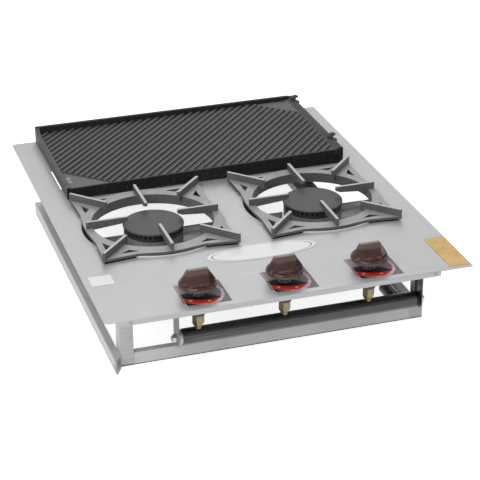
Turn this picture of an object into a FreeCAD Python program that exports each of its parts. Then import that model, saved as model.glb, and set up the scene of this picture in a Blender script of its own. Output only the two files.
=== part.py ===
import FreeCAD, Part
import math
import os
import Sketcher

# Drop-in gas cooktop with two ring burners, a ribbed griddle and three taps.
# Millimetres. X to the right, Y to the back, Z up; the origin lies on the base
# under the middle of the worktop plate.

doc = FreeCAD.newDocument("DropInCooktop")
sheet = doc.addObject("Spreadsheet::Sheet", "Dims")


class Size:
    """A length with its value and the sheet expression it is bound to."""

    def __init__(self, value, text):
        self.value = float(value)
        self.text = text

    def combine(self, other, sign, flip=False):
        """Return the size made of this one and another by one arithmetic sign."""
        other = as_size(other)
        first, second = (other, self) if flip else (self, other)
        results = {
            "+": first.value + second.value,
            "-": first.value - second.value,
            "*": first.value * second.value,
            "/": first.value / second.value if second.value else 0.0,
        }
        return Size(results[sign], "(%s %s %s)" % (first.text, sign, second.text))

    def __add__(self, other):
        return self.combine(other, "+")

    def __radd__(self, other):
        return self.combine(other, "+", True)

    def __sub__(self, other):
        return self.combine(other, "-")

    def __rsub__(self, other):
        return self.combine(other, "-", True)

    def __mul__(self, other):
        return self.combine(other, "*")

    def __rmul__(self, other):
        return self.combine(other, "*", True)

    def __truediv__(self, other):
        return self.combine(other, "/")

    def __neg__(self):
        return self.combine(-1, "*")


def as_size(value):
    """Return a plain number as a size, and a size as it is."""
    if isinstance(value, Size):
        return value
    return Size(value, "(%.9g)" % value)


next_row = [1]


def dim(alias, value):
    """Write one driving dimension into the sheet and return it as a size."""
    row = next_row[0]
    next_row[0] += 1
    sheet.set("A%d" % row, alias)
    sheet.set("B%d" % row, str(value))
    sheet.setAlias("B%d" % row, alias)
    return Size(value, "Dims." + alias)


# Worktop plate
plate_width = dim("plate_width", 600)
plate_depth = dim("plate_depth", 735)
plate_thick = dim("plate_thick", 1.2)
plate_top = dim("plate_top", 115)
lip_drop = dim("lip_drop", 9)
lip_left_inset = dim("lip_left_inset", 19)
lip_right_inset = dim("lip_right_inset", 55)
plate_front_corner = dim("plate_front_corner", 8)
plate_back_corner = dim("plate_back_corner", 4)
plate_right_corner = dim("plate_right_corner", 1.5)
rivet_left_inset = dim("rivet_left_inset", 40)
rivet_right_inset = dim("rivet_right_inset", 64)
rivet_drop = dim("rivet_drop", 4.5)
rivet_head_radius = dim("rivet_head_radius", 3.2)
rivet_head_height = dim("rivet_head_height", 1.4)
rivet_shank_radius = dim("rivet_shank_radius", 1.6)
rivet_tail_share = 0.7
rivet_round_share = 0.8
rivet_crown_share = 0.4

# Burners, their holes and grates
burner_left_x = dim("burner_left_x", -140)
burner_right_x = dim("burner_right_x", 144)
burner_line_inset = dim("burner_line_inset", 314)
burner_hole_radius = dim("burner_hole_radius", 122)
hole_rim_width = dim("hole_rim_width", 6)
hole_rim_round = dim("hole_rim_round", 1.2)
cup_radius = dim("cup_radius", 50)
cup_wall = dim("cup_wall", 4)
cup_floor = dim("cup_floor", 4)
cup_chamfer = dim("cup_chamfer", 1.5)
cup_bottom_drop = dim("cup_bottom_drop", 38)
cup_rim_drop = dim("cup_rim_drop", 1)
cup_groove_drop = dim("cup_groove_drop", 10)
cup_groove_width = dim("cup_groove_width", 1.6)
cup_groove_depth = dim("cup_groove_depth", 0.8)
port_width = dim("port_width", 3)
port_depth = dim("port_depth", 4)
port_count = 36
mixer_radius = dim("mixer_radius", 12)
mixer_bore = dim("mixer_bore", 9)
mixer_drop = dim("mixer_drop", 24)
mixer_window_width = dim("mixer_window_width", 8)
mixer_window_length = dim("mixer_window_length", 12)
mixer_window_start = dim("mixer_window_start", 6)
cap_radius = dim("cap_radius", 51.5)
cap_thick = dim("cap_thick", 4.7)
cap_edge = dim("cap_edge", 1)
cap_ring_radius = dim("cap_ring_radius", 45.4)
cap_ring_wall = dim("cap_ring_wall", 2.5)
cap_ring_drop = dim("cap_ring_drop", 5)
rest_gap = dim("rest_gap", 0.3)

grate_width = dim("grate_width", 228)
grate_depth = dim("grate_depth", 246)
grate_setback = dim("grate_setback", 2)
grate_bar_bottom = dim("grate_bar_bottom", 3)
grate_bar_top = dim("grate_bar_top", 7.5)
grate_top = dim("grate_top", 20)
grate_ring_radius = dim("grate_ring_radius", 103)
grate_ring_wall = dim("grate_ring_wall", 6)
grate_skirt_drop = dim("grate_skirt_drop", 10)
vane_thick = dim("vane_thick", 5)
vane_reach = dim("vane_reach", 93)
finger_reach = dim("finger_reach", 43)
finger_tip_slant = dim("finger_tip_slant", 8)
finger_tip_rise = dim("finger_tip_rise", 3.5)
finger_tip_nose = dim("finger_tip_nose", 1.5)
finger_root_bottom = dim("finger_root_bottom", 5)
finger_tip_bottom = dim("finger_tip_bottom", 9.5)
grate_hole_bar = dim("grate_hole_bar", 12)
grate_hole_end_bar = dim("grate_hole_end_bar", 14.5)
grate_hole_near = dim("grate_hole_near", 31)
grate_hole_far = dim("grate_hole_far", 63)
grate_hole_tip = dim("grate_hole_tip", 48)
grate_hole_width = dim("grate_hole_width", 10)
grate_foot_half = dim("grate_foot_half", 14)
grate_foot_swell = dim("grate_foot_swell", 2)
grate_waist_at = dim("grate_waist_at", 58)
grate_side_waist = dim("grate_side_waist", 2.5)
grate_end_waist = dim("grate_end_waist", 6)

# Griddle
griddle_side_inset = dim("griddle_side_inset", 45)
griddle_back_inset = dim("griddle_back_inset", 1)
grate_griddle_gap = dim("grate_griddle_gap", 17.5)
griddle_floor_left = dim("griddle_floor_left", 17)
griddle_floor_right = dim("griddle_floor_right", 24)
griddle_rib_height = dim("griddle_rib_height", 2.5)
griddle_left_wall_top = dim("griddle_left_wall_top", 21.5)
griddle_right_wall_top = dim("griddle_right_wall_top", 29.5)
griddle_back_wall_top = dim("griddle_back_wall_top", 31)
griddle_wall = dim("griddle_wall", 7)
griddle_front_rim = dim("griddle_front_rim", 4)
griddle_right_slope = dim("griddle_right_slope", 15)
griddle_skirt = dim("griddle_skirt", 6)
griddle_hollow = dim("griddle_hollow", 10)
griddle_left_sweep = dim("griddle_left_sweep", 26)
griddle_corner_cut = dim("griddle_corner_cut", 12)
griddle_edge_run = dim("griddle_edge_run", 1.5)
griddle_edge_fall = dim("griddle_edge_fall", 1)
griddle_rim_trim = dim("griddle_rim_trim", 2)
griddle_knee_run = dim("griddle_knee_run", 9)
griddle_knee_rise = dim("griddle_knee_rise", 0.8)
griddle_foot_sink = dim("griddle_foot_sink", 0.4)
griddle_sweep_step = dim("griddle_sweep_step", 3)
griddle_sweep_shoulder = dim("griddle_sweep_shoulder", 8)
rib_pitch = dim("rib_pitch", 12.16)
rib_groove_bottom = dim("rib_groove_bottom", 4.6)
rib_groove_top = dim("rib_groove_top", 7.4)
rib_angle = 47.4
groove_count = 47
groove_run = dim("groove_run", 420)
groove_mouth = dim("groove_mouth", 0.5)
rib_trim = dim("rib_trim", 5)
plain_front_left = dim("plain_front_left", 88)
plain_back_right = dim("plain_back_right", 68)
drain_left_inset = dim("drain_left_inset", 12)
drain_front_inset = dim("drain_front_inset", 42)
drain_width = dim("drain_width", 8)
drain_length = dim("drain_length", 10)
drain_pitch = dim("drain_pitch", 14)
ear_front_inset = dim("ear_front_inset", 52)
ear_back_inset = dim("ear_back_inset", 21.5)
ear_thick = dim("ear_thick", 9)
ear_radius = dim("ear_radius", 9)
ear_hole = dim("ear_hole", 4.5)
ear_sink = dim("ear_sink", 1)
ear_root_trim = dim("ear_root_trim", 2)
ear_mouth_drop = dim("ear_mouth_drop", 5)
griddle_open_lap = dim("griddle_open_lap", 15)
griddle_open_post_gap = dim("griddle_open_post_gap", 6)
notch_overhang = dim("notch_overhang", 7)
notch_start = dim("notch_start", 33)
notch_length = dim("notch_length", 85)

# Griddle burner
bar_burner_end_gap = dim("bar_burner_end_gap", 32)
bar_burner_radius = dim("bar_burner_radius", 15)
bar_burner_bore = dim("bar_burner_bore", 12)
bar_burner_drop = dim("bar_burner_drop", 23)
bar_end_wall = dim("bar_end_wall", 3)
bar_port_width = dim("bar_port_width", 2)
bar_port_length = dim("bar_port_length", 9)
bar_port_margin = dim("bar_port_margin", 22)
bar_port_count = 25

# Burner supports
bridge_width = dim("bridge_width", 58)
bridge_end_inset = dim("bridge_end_inset", 20)
bridge_web_drop = dim("bridge_web_drop", 38)
bridge_sheet = dim("bridge_sheet", 2)
bridge_flange = dim("bridge_flange", 12)
bridge_foot = dim("bridge_foot", 14)
bridge_relief_radius = dim("bridge_relief_radius", 53)
bridge_tube_relief = dim("bridge_tube_relief", 15)
runner_half_width = dim("runner_half_width", 19)
runner_end_inset = dim("runner_end_inset", 14)
runner_back_inset = dim("runner_back_inset", 14)
runner_short_lead = dim("runner_short_lead", 36)
runner_foot = dim("runner_foot", 11)
runner_flange = dim("runner_flange", 10)
runner_relief = dim("runner_relief", 17)
screw_radius = dim("screw_radius", 3)
screw_head_flat = dim("screw_head_flat", 10)
screw_head_height = dim("screw_head_height", 4)

# Base frame
post_front_leg = dim("post_front_leg", 22)
post_side_leg = dim("post_side_leg", 25)
post_sheet = dim("post_sheet", 2.5)
frame_left_inset = dim("frame_left_inset", 36)
frame_right_inset = dim("frame_right_inset", 56)
frame_front_inset = dim("frame_front_inset", 63)
frame_back_inset = dim("frame_back_inset", 67)
rail_height = dim("rail_height", 22)
rail_depth = dim("rail_depth", 12.5)
rail_wall = dim("rail_wall", 1.5)
left_rail_width = dim("left_rail_width", 12)
left_rail_tip = dim("left_rail_tip", 24)
left_rail_miter = dim("left_rail_miter", 20)
right_rail_width = dim("right_rail_width", 25)

# Gas manifold
manifold_left_inset = dim("manifold_left_inset", 95)
manifold_right_inset = dim("manifold_right_inset", 23)
manifold_drop = dim("manifold_drop", 70)
manifold_radius = dim("manifold_radius", 13.35)
manifold_bore = dim("manifold_bore", 10.45)
plug_flange_length = dim("plug_flange_length", 7)
plug_flange_radius = dim("plug_flange_radius", 12)
plug_spigot_length = dim("plug_spigot_length", 12)
plug_stud_radius = dim("plug_stud_radius", 4)
plug_stud_length = dim("plug_stud_length", 10)
strap_width = dim("strap_width", 28)
strap_sheet = dim("strap_sheet", 2)
strap_foot = dim("strap_foot", 18)
strap_nut_flat = dim("strap_nut_flat", 13)
strap_nut_length = dim("strap_nut_length", 6)
inlet_end_inset = dim("inlet_end_inset", 28)
inlet_radius = dim("inlet_radius", 10.65)
inlet_bore = dim("inlet_bore", 7.9)
inlet_neck_radius = dim("inlet_neck_radius", 9.8)
inlet_neck_start = dim("inlet_neck_start", 8.5)
inlet_shoulder_gap = dim("inlet_shoulder_gap", 0.65)
inlet_length = dim("inlet_length", 41)

# Taps
fine_chamfer = dim("fine_chamfer", 0.5)
tap_pitch = dim("tap_pitch", 141.5)
tap_line_inset = dim("tap_line_inset", 47)
stem_hole_radius = dim("stem_hole_radius", 7)
tap_neck_radius = dim("tap_neck_radius", 5.5)
tap_thread_gap = dim("tap_thread_gap", 0.02)
tap_neck_bottom = dim("tap_neck_bottom", 60)
tap_hex_bottom = dim("tap_hex_bottom", 54)
tap_hex_top = dim("tap_hex_top", 36)
tap_hex_flat = dim("tap_hex_flat", 17)
tap_washer_radius = dim("tap_washer_radius", 10)
tap_washer_bore = dim("tap_washer_bore", 6)
tap_barrel_bottom = dim("tap_barrel_bottom", 33)
tap_barrel_top = dim("tap_barrel_top", 8)
tap_barrel_radius = dim("tap_barrel_radius", 11)
tap_passage_radius = dim("tap_passage_radius", 3)
tap_cone_top = dim("tap_cone_top", 14)
tap_cone_bottom = dim("tap_cone_bottom", 32)
tap_cone_top_radius = dim("tap_cone_top_radius", 7.5)
tap_cone_bottom_radius = dim("tap_cone_bottom_radius", 5.5)
tap_chamber_radius = dim("tap_chamber_radius", 8.2)
tap_outlet_radius = dim("tap_outlet_radius", 6.5)
tap_outlet_reach = dim("tap_outlet_reach", 17)
running_gap = dim("running_gap", 0.05)
plug_end_gap = dim("plug_end_gap", 0.4)
plug_port_radius = dim("plug_port_radius", 2)
plug_slot_width = dim("plug_slot_width", 3)
plug_slot_depth = dim("plug_slot_depth", 6)
stem_radius = dim("stem_radius", 4)
stem_tang_thick = dim("stem_tang_thick", 2.8)
stem_tang_width = dim("stem_tang_width", 10)
stem_tang_bottom = dim("stem_tang_bottom", 16.5)
stem_shaft_bottom = dim("stem_shaft_bottom", 10.5)
stem_flange_radius = dim("stem_flange_radius", 7.5)
stem_flange_bottom = dim("stem_flange_bottom", 5.5)
stem_flange_top = dim("stem_flange_top", 4.1)
stem_square = dim("stem_square", 6)
stem_square_start = dim("stem_square_start", 17)
stem_top = dim("stem_top", 35)
bonnet_roof_bottom = dim("bonnet_roof_bottom", 4)
bonnet_neck_radius = dim("bonnet_neck_radius", 6)
bonnet_neck_top = dim("bonnet_neck_top", 9)
collar_flat = dim("collar_flat", 15)
collar_height = dim("collar_height", 6.5)
spring_wire = dim("spring_wire", 0.9)
spring_radius = dim("spring_radius", 6)
spring_turns = 4
spring_steps = 4
spring_seat_gap = dim("spring_seat_gap", 0.02)
jet_thread_radius = dim("jet_thread_radius", 3.5)
jet_hex_flat = dim("jet_hex_flat", 10)
jet_hex_length = dim("jet_hex_length", 4)
jet_nose_radius = dim("jet_nose_radius", 3)
jet_tip_radius = dim("jet_tip_radius", 1.8)
jet_nose_length = dim("jet_nose_length", 6)
jet_orifice = dim("jet_orifice", 0.6)
mixer_mouth_reach = dim("mixer_mouth_reach", 31)
shutter_start = dim("shutter_start", 2)
shutter_length = dim("shutter_length", 20)
shutter_wall = dim("shutter_wall", 1.5)
shutter_tab = dim("shutter_tab", 4)
shutter_tab_half = dim("shutter_tab_half", 3)
shutter_tab_length = dim("shutter_tab_length", 4)

# Knobs and printed plates
knob_lift = dim("knob_lift", 16)
knob_radius = dim("knob_radius", 30)
knob_height = dim("knob_height", 28)
knob_edge = dim("knob_edge", 4.5)
knob_top_radius = dim("knob_top_radius", 15)
knob_ledge = dim("knob_ledge", 7)
knob_waist = dim("knob_waist", 11.5)
knob_ridge = dim("knob_ridge", 5.5)
knob_recess_radius = dim("knob_recess_radius", 24)
knob_recess_depth = dim("knob_recess_depth", 4)
knob_hub_radius = dim("knob_hub_radius", 8)
knob_bore_depth = dim("knob_bore_depth", 20)
knob_round = dim("knob_round", 1)
dial_size = dim("dial_size", 73)
dial_offset_x = dim("dial_offset_x", 8)
dial_offset_y = dim("dial_offset_y", 1.5)
dial_thick = dim("dial_thick", 0.5)
dial_hole_radius = dim("dial_hole_radius", 9)
badge_half_length = dim("badge_half_length", 94)
badge_half_depth = dim("badge_half_depth", 27)
badge_inset = dim("badge_inset", 158.5)
badge_thick = dim("badge_thick", 0.6)
label_thick = dim("label_thick", 0.4)
white_label_left_inset = dim("white_label_left_inset", 28.5)
white_label_front_inset = dim("white_label_front_inset", 139.5)
white_label_width = dim("white_label_width", 37)
white_label_depth = dim("white_label_depth", 33)
amber_label_right_inset = dim("amber_label_right_inset", 19)
amber_label_front_inset = dim("amber_label_front_inset", 60.5)
amber_label_width = dim("amber_label_width", 35)
amber_label_depth = dim("amber_label_depth", 106)

doc.recompute()

zero = as_size(0)
plate_under = plate_top - plate_thick
plate_front = -plate_depth / 2
plate_back = plate_depth / 2
plate_left = -plate_width / 2
plate_right = plate_width / 2
tap_line_y = plate_front + tap_line_inset
burner_line_y = plate_front + burner_line_inset
frame_left_x = plate_left + frame_left_inset
frame_right_x = plate_right - frame_right_inset
frame_front_y = plate_front + frame_front_inset
frame_back_y = plate_back - frame_back_inset
griddle_left_x = plate_left + griddle_side_inset
griddle_right_x = plate_right - griddle_side_inset
grate_line_y = burner_line_y + grate_setback
griddle_front_y = grate_line_y + grate_depth / 2 + grate_griddle_gap
griddle_back_y = plate_back - griddle_back_inset
griddle_middle_y = (griddle_front_y + griddle_back_y) / 2
griddle_open_left = griddle_left_x + griddle_open_lap
griddle_open_right = frame_right_x - post_front_leg - griddle_open_post_gap
griddle_open_front = griddle_front_y + griddle_open_lap
griddle_open_back = griddle_back_y - griddle_open_lap
bar_burner_half = frame_right_x - post_front_leg - bar_burner_end_gap
bar_burner_y = griddle_middle_y
bridge_front_y = burner_line_y - bridge_width / 2
bridge_back_y = bridge_front_y + bridge_width
bridge_half_length = plate_right - bridge_end_inset
runner_x = bar_burner_half - runner_end_inset
runner_back_y = plate_back - runner_back_inset
manifold_left_x = frame_left_x + manifold_left_inset
manifold_right_x = frame_right_x - manifold_right_inset
inlet_x = manifold_right_x - inlet_end_inset

match_gap = 0.01
parts = []


def circle(centre_x, centre_y, radius):
    """Return the description of one circle of a sketch."""
    return ("circle", as_size(centre_x), as_size(centre_y), as_size(radius))


def polygon(points):
    """Return the description of one closed outline of straight lines."""
    return ("polygon", [(as_size(x), as_size(y)) for x, y in points])


def rectangle(low_x, low_y, high_x, high_y):
    """Return the outline of an upright rectangle between two corners."""
    return polygon([(low_x, low_y), (high_x, low_y), (high_x, high_y), (low_x, high_y)])


def hexagon(flat):
    """Return a hexagon about the sketch's origin with two flats facing Y."""
    half = as_size(flat) / 2
    corner = as_size(flat) / math.sqrt(3)
    return polygon([
        (corner, 0), (corner / 2, half), (-corner / 2, half),
        (-corner, 0), (-corner / 2, -half), (corner / 2, -half),
    ])


def bind_point(sketch, geometry, position, x, y):
    """Hold one sketch point at a place given by two sizes."""
    for axis_name, axis_line, value in (("DistanceX", -2, x), ("DistanceY", -1, y)):
        if abs(value.value) < 1e-9:
            constraint = Sketcher.Constraint("PointOnObject", geometry, position, axis_line)
            sketch.addConstraint(constraint)
            continue
        constraint = Sketcher.Constraint(axis_name, -1, 1, geometry, position, value.value)
        index = sketch.addConstraint(constraint)
        sketch.setExpression("Constraints[%d]" % index, value.text)


def start_body(label, x=0, y=0, z=0, rotation=None):
    """Start one sub-part as a body placed by three sizes."""
    body = doc.addObject("PartDesign::Body", label)
    body.Label = label
    place = [as_size(value) for value in (x, y, z)]
    turn = rotation if rotation else FreeCAD.Rotation()
    base = FreeCAD.Vector(*[value.value for value in place])
    body.Placement = FreeCAD.Placement(base, turn)
    for name, value in zip("xyz", place):
        body.setExpression(".Placement.Base." + name, value.text)
    parts.append(body)
    return body


def origin_plane(body, role):
    """Return one of the body's own origin planes."""
    return [item for item in body.Origin.OriginFeatures if item.Role == role][0]


def make_sketch(body, plane, level, outlines, tilt=None):
    """Draw outlines on a plane of the body at a level along its axis."""
    sketch = body.newObject("Sketcher::SketchObject", body.Name + "_sketch")
    sketch.AttachmentSupport = (origin_plane(body, plane + "_Plane"), [""])
    sketch.MapMode = "FlatFace"
    level = as_size(level)
    offset = -level if plane == "XZ" else level
    if tilt is None:
        sketch.AttachmentOffset = FreeCAD.Placement(
            FreeCAD.Vector(0, 0, offset.value), FreeCAD.Rotation())
        sketch.setExpression(".AttachmentOffset.Base.z", offset.text)
    else:
        sketch.AttachmentOffset = tilt
    for outline in outlines:
        if outline[0] == "circle":
            centre = FreeCAD.Vector(outline[1].value, outline[2].value, 0)
            shape = Part.Circle(centre, FreeCAD.Vector(0, 0, 1), outline[3].value)
            index = sketch.addGeometry(shape, False)
            bind_point(sketch, index, 3, outline[1], outline[2])
            radius = sketch.addConstraint(
                Sketcher.Constraint("Radius", index, outline[3].value))
            sketch.setExpression("Constraints[%d]" % radius, outline[3].text)
            continue
        points = outline[1]
        count = len(points)
        corners = [FreeCAD.Vector(x.value, y.value, 0) for x, y in points]
        first = None
        for number in range(count):
            line = Part.LineSegment(corners[number], corners[(number + 1) % count])
            index = sketch.addGeometry(line, False)
            first = index if first is None else first
        for number in range(count):
            following = first + (number + 1) % count
            sketch.addConstraint(
                Sketcher.Constraint("Coincident", first + number, 2, following, 1))
        for number in range(count):
            bind_point(sketch, first + number, 1, points[number][0], points[number][1])
    return sketch


def finish_feature(body, feature):
    """Make a feature the tip of its body and hide its sketch."""
    body.Tip = feature
    return feature


def prism(body, plane, start, length, outlines, cut=False, tilt=None):
    """Add or cut a prism that runs from a level along the positive axis."""
    sketch = make_sketch(body, plane, start, outlines, tilt)
    kind = "Pocket" if cut else "Pad"
    feature = body.newObject("PartDesign::" + kind, body.Name + "_" + kind.lower())
    feature.Profile = sketch
    length = as_size(length)
    feature.Length = length.value
    feature.setExpression("Length", length.text)
    forward = plane != "XZ"
    feature.Reversed = forward if cut else not forward
    return finish_feature(body, feature)


def turned(body, points, cut=False):
    """Add or cut a solid of revolution about the body's Z axis."""
    sketch = make_sketch(body, "XZ", zero, [polygon(points)])
    kind = "Groove" if cut else "Revolution"
    feature = body.newObject("PartDesign::" + kind, body.Name + "_" + kind.lower())
    feature.Profile = sketch
    feature.ReferenceAxis = (sketch, ["V_Axis"])
    feature.Angle = 360
    return finish_feature(body, feature)


def round_edges(body, radius, wanted):
    """Round every edge of the body's tip that a test accepts."""
    doc.recompute()
    base = body.Tip
    names = [
        "Edge%d" % (number + 1)
        for number, edge in enumerate(base.Shape.Edges) if wanted(edge)
    ]
    fillet = body.newObject("PartDesign::Fillet", body.Name + "_fillet")
    fillet.Base = (base, names)
    radius = as_size(radius)
    fillet.Radius = radius.value
    fillet.setExpression("Radius", radius.text)
    return finish_feature(body, fillet)


def polar_copies(body, feature, count):
    """Repeat a feature around the body's Z axis."""
    pattern = body.newObject("PartDesign::PolarPattern", body.Name + "_polar")
    pattern.Originals = [feature]
    pattern.Axis = (feature.Profile[0], ["N_Axis"])
    pattern.Angle = 360
    pattern.Occurrences = count
    return finish_feature(body, pattern)


def linear_copies(body, feature, axis_name, length, count):
    """Repeat a feature along an axis of its own sketch."""
    pattern = body.newObject("PartDesign::LinearPattern", body.Name + "_row")
    pattern.Originals = [feature]
    pattern.Direction = (feature.Profile[0], [axis_name])
    length = as_size(length)
    pattern.Length = length.value
    pattern.setExpression("Length", length.text)
    pattern.Occurrences = count
    return finish_feature(body, pattern)


def join_solids(label, bodies):
    """Gather separate like solids under one label."""
    compound = doc.addObject("Part::Compound", label)
    compound.Label = label
    compound.Links = bodies
    for body in bodies:
        parts.remove(body)
    parts.append(compound)
    return compound


def upright_edge(x, y):
    """Return a test for the upright edge at one place in plan."""
    def test(edge):
        box = edge.BoundBox
        flat = box.XLength < 1e-6 and box.YLength < 1e-6
        return flat and abs(box.XMin - x) < match_gap and abs(box.YMin - y) < match_gap
    return test


def build_top_plate():
    """Sheet-metal worktop with front and back lips and all its openings."""
    body = start_body("top_plate")
    right = plate_right
    back = plate_back
    prism(body, "XY", plate_under, plate_thick,
          [rectangle(plate_left, plate_front, right, back)])
    round_edges(body, plate_front_corner,
                upright_edge(plate_left.value, plate_front.value))
    round_edges(body, plate_back_corner, upright_edge(plate_left.value, back.value))
    front_test = upright_edge(right.value, plate_front.value)
    back_test = upright_edge(right.value, back.value)
    round_edges(body, plate_right_corner,
                lambda edge: front_test(edge) or back_test(edge))
    rim_top = grate_bar_bottom - rest_gap
    for centre_x in (burner_left_x, burner_right_x):
        prism(body, "XY", plate_top - plate_thick / 2, plate_thick / 2 + rim_top, [
            circle(centre_x, burner_line_y, burner_hole_radius + hole_rim_width),
        ])
    lip_left = plate_left + lip_left_inset
    lip_right = right - lip_right_inset
    prism(body, "XY", plate_top - lip_drop, lip_drop - plate_thick / 2,
          [rectangle(lip_left, plate_front, lip_right, plate_front + plate_thick)])
    prism(body, "XY", plate_top - lip_drop, lip_drop - plate_thick / 2,
          [rectangle(lip_left, back - plate_thick, lip_right, back)])
    below = plate_under - plate_thick
    through = plate_thick * 3
    holes = [
        circle(burner_left_x, burner_line_y, burner_hole_radius),
        circle(burner_right_x, burner_line_y, burner_hole_radius),
    ]
    for number in (-1, 0, 1):
        holes.append(circle(tap_pitch * number, tap_line_y, stem_hole_radius))
    prism(body, "XY", below, through + rim_top, holes, cut=True)
    rim_level = (plate_top + rim_top).value
    round_edges(body, hole_rim_round, lambda edge: edge.BoundBox.ZMin > rim_level - match_gap)
    notch_left_x = griddle_left_x - notch_overhang
    notch_front_y = griddle_open_front + notch_start
    notch_back_y = notch_front_y + notch_length
    opening = polygon([
        (griddle_open_left, griddle_open_front), (griddle_open_right, griddle_open_front),
        (griddle_open_right, griddle_open_back), (griddle_open_left, griddle_open_back),
        (griddle_open_left, notch_back_y), (notch_left_x, notch_back_y),
        (notch_left_x, notch_front_y), (griddle_open_left, notch_front_y),
    ])
    prism(body, "XY", below, through, [opening], cut=True)
    rivet_z = plate_top - rivet_drop
    prism(body, "XZ", plate_front - plate_thick, plate_depth + plate_thick * 2, [
        circle(plate_left + rivet_left_inset, rivet_z, rivet_shank_radius),
        circle(plate_right - rivet_right_inset, rivet_z, rivet_shank_radius),
    ], cut=True)


def build_lip_rivets():
    """Domed rivets in the front and back lips."""
    rivets = []
    tail = plate_thick + rivet_head_height
    columns = (
        ("left", plate_left + rivet_left_inset),
        ("right", plate_right - rivet_right_inset),
    )
    for row, angle, lip_y in (("front", 90, plate_front), ("back", -90, plate_back)):
        for column, centre_x in columns:
            turn = FreeCAD.Rotation(FreeCAD.Vector(1, 0, 0), angle)
            name = "lip_rivet_%s_%s" % (row, column)
            body = start_body(name, centre_x, lip_y, plate_top - rivet_drop, turn)
            turned(body, [
                (0, -tail), (rivet_head_radius * rivet_tail_share, -tail),
                (rivet_head_radius, -plate_thick), (rivet_shank_radius, -plate_thick),
                (rivet_shank_radius, 0), (rivet_head_radius, 0),
                (rivet_head_radius * rivet_round_share, rivet_head_height * rivet_tail_share),
                (rivet_head_radius * rivet_crown_share, rivet_head_height), (0, rivet_head_height),
            ])
            rivets.append(body)
    join_solids("lip_rivets", rivets)


def build_posts():
    """Four upright angle bars under the corners of the plate."""
    columns = (("left", frame_left_x, 1), ("right", frame_right_x, -1))
    rows = (("front", frame_front_y, 1), ("back", frame_back_y, -1))
    for row_name, corner_y, inward_y in rows:
        for column_name, corner_x, inward_x in columns:
            body = start_body("post_%s_%s" % (row_name, column_name), corner_x, corner_y, 0)
            long_x = post_front_leg * inward_x
            long_y = post_side_leg * inward_y
            thin_x = post_sheet * inward_x
            thin_y = post_sheet * inward_y
            prism(body, "XY", 0, plate_under, [polygon([
                (0, 0), (long_x, 0), (long_x, thin_y),
                (thin_x, thin_y), (thin_x, long_y), (0, long_y),
            ])])


def build_cross_rail(label, face_y, inward):
    """Rectangular tube between the two posts of one row."""
    body = start_body(label, 0, face_y, 0)
    left = frame_left_x + post_front_leg
    right = frame_right_x - post_front_leg
    deep = rail_depth * inward
    low_y, high_y = (zero, deep) if inward > 0 else (deep, zero)
    prism(body, "YZ", left, right - left, [rectangle(low_y, 0, high_y, rail_height)])
    prism(body, "YZ", left, right - left, [
        rectangle(low_y + rail_wall, rail_wall, high_y - rail_wall, rail_height - rail_wall),
    ], cut=True)


def build_left_rail():
    """Standing tube outside the left posts with a mitred front tip."""
    body = start_body("rail_left")
    outer = frame_left_x - left_rail_width
    tip = frame_front_y - left_rail_tip
    prism(body, "XY", 0, rail_height, [polygon([
        (outer, tip), (frame_left_x, tip + left_rail_miter),
        (frame_left_x, frame_back_y), (outer, frame_back_y),
    ])])
    hollow_start = tip + left_rail_miter + rail_wall * 4
    prism(body, "XZ", hollow_start, frame_back_y - hollow_start, [
        rectangle(outer + rail_wall, rail_wall,
                  frame_left_x - rail_wall, rail_height - rail_wall),
    ], cut=True)


def build_right_rail():
    """Flat tube between the two right posts."""
    body = start_body("rail_right")
    start = frame_front_y + post_side_leg
    length = frame_back_y - post_side_leg - start
    inner = frame_right_x - right_rail_width
    low = rail_height - rail_depth
    prism(body, "XZ", start, length, [rectangle(inner, low, frame_right_x, rail_height)])
    prism(body, "XZ", start, length, [
        rectangle(inner + rail_wall, low + rail_wall,
                  frame_right_x - rail_wall, rail_height - rail_wall),
    ], cut=True)


def build_bridge():
    """Upturned channel across the plate that carries both ring burners."""
    body = start_body("burner_bridge", 0, bridge_front_y, plate_top)
    web_top = -bridge_web_drop
    web_bottom = web_top - bridge_sheet
    half = bridge_half_length
    inner = half - bridge_sheet
    prism(body, "XY", web_bottom, bridge_sheet, [rectangle(-half, 0, half, bridge_width)])
    for low_y in (zero, bridge_width - bridge_sheet):
        prism(body, "XY", web_bottom, bridge_sheet + bridge_flange,
              [rectangle(-half, low_y, half, low_y + bridge_sheet)])
    for low_x in (-half, inner):
        prism(body, "XY", web_bottom, bridge_web_drop + bridge_sheet - plate_thick,
              [rectangle(low_x, 0, low_x + bridge_sheet, bridge_width)])
    foot_bottom = -plate_thick - bridge_sheet
    for low_x in (-half - bridge_foot, half):
        prism(body, "XY", foot_bottom, bridge_sheet,
              [rectangle(low_x, 0, low_x + bridge_foot, bridge_width)])
    middle = burner_line_y - bridge_front_y
    reliefs = [
        circle(burner_left_x, middle, bridge_relief_radius),
        circle(burner_right_x, middle, bridge_relief_radius),
        rectangle(-bridge_tube_relief, -bridge_sheet,
                  bridge_tube_relief, bridge_width + bridge_sheet),
    ]
    prism(body, "XY", web_top, bridge_flange + bridge_sheet, reliefs, cut=True)
    prism(body, "XY", web_bottom - bridge_sheet, bridge_sheet * 3, [
        circle(burner_left_x, middle, screw_radius),
        circle(burner_right_x, middle, screw_radius),
    ], cut=True)


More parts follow.
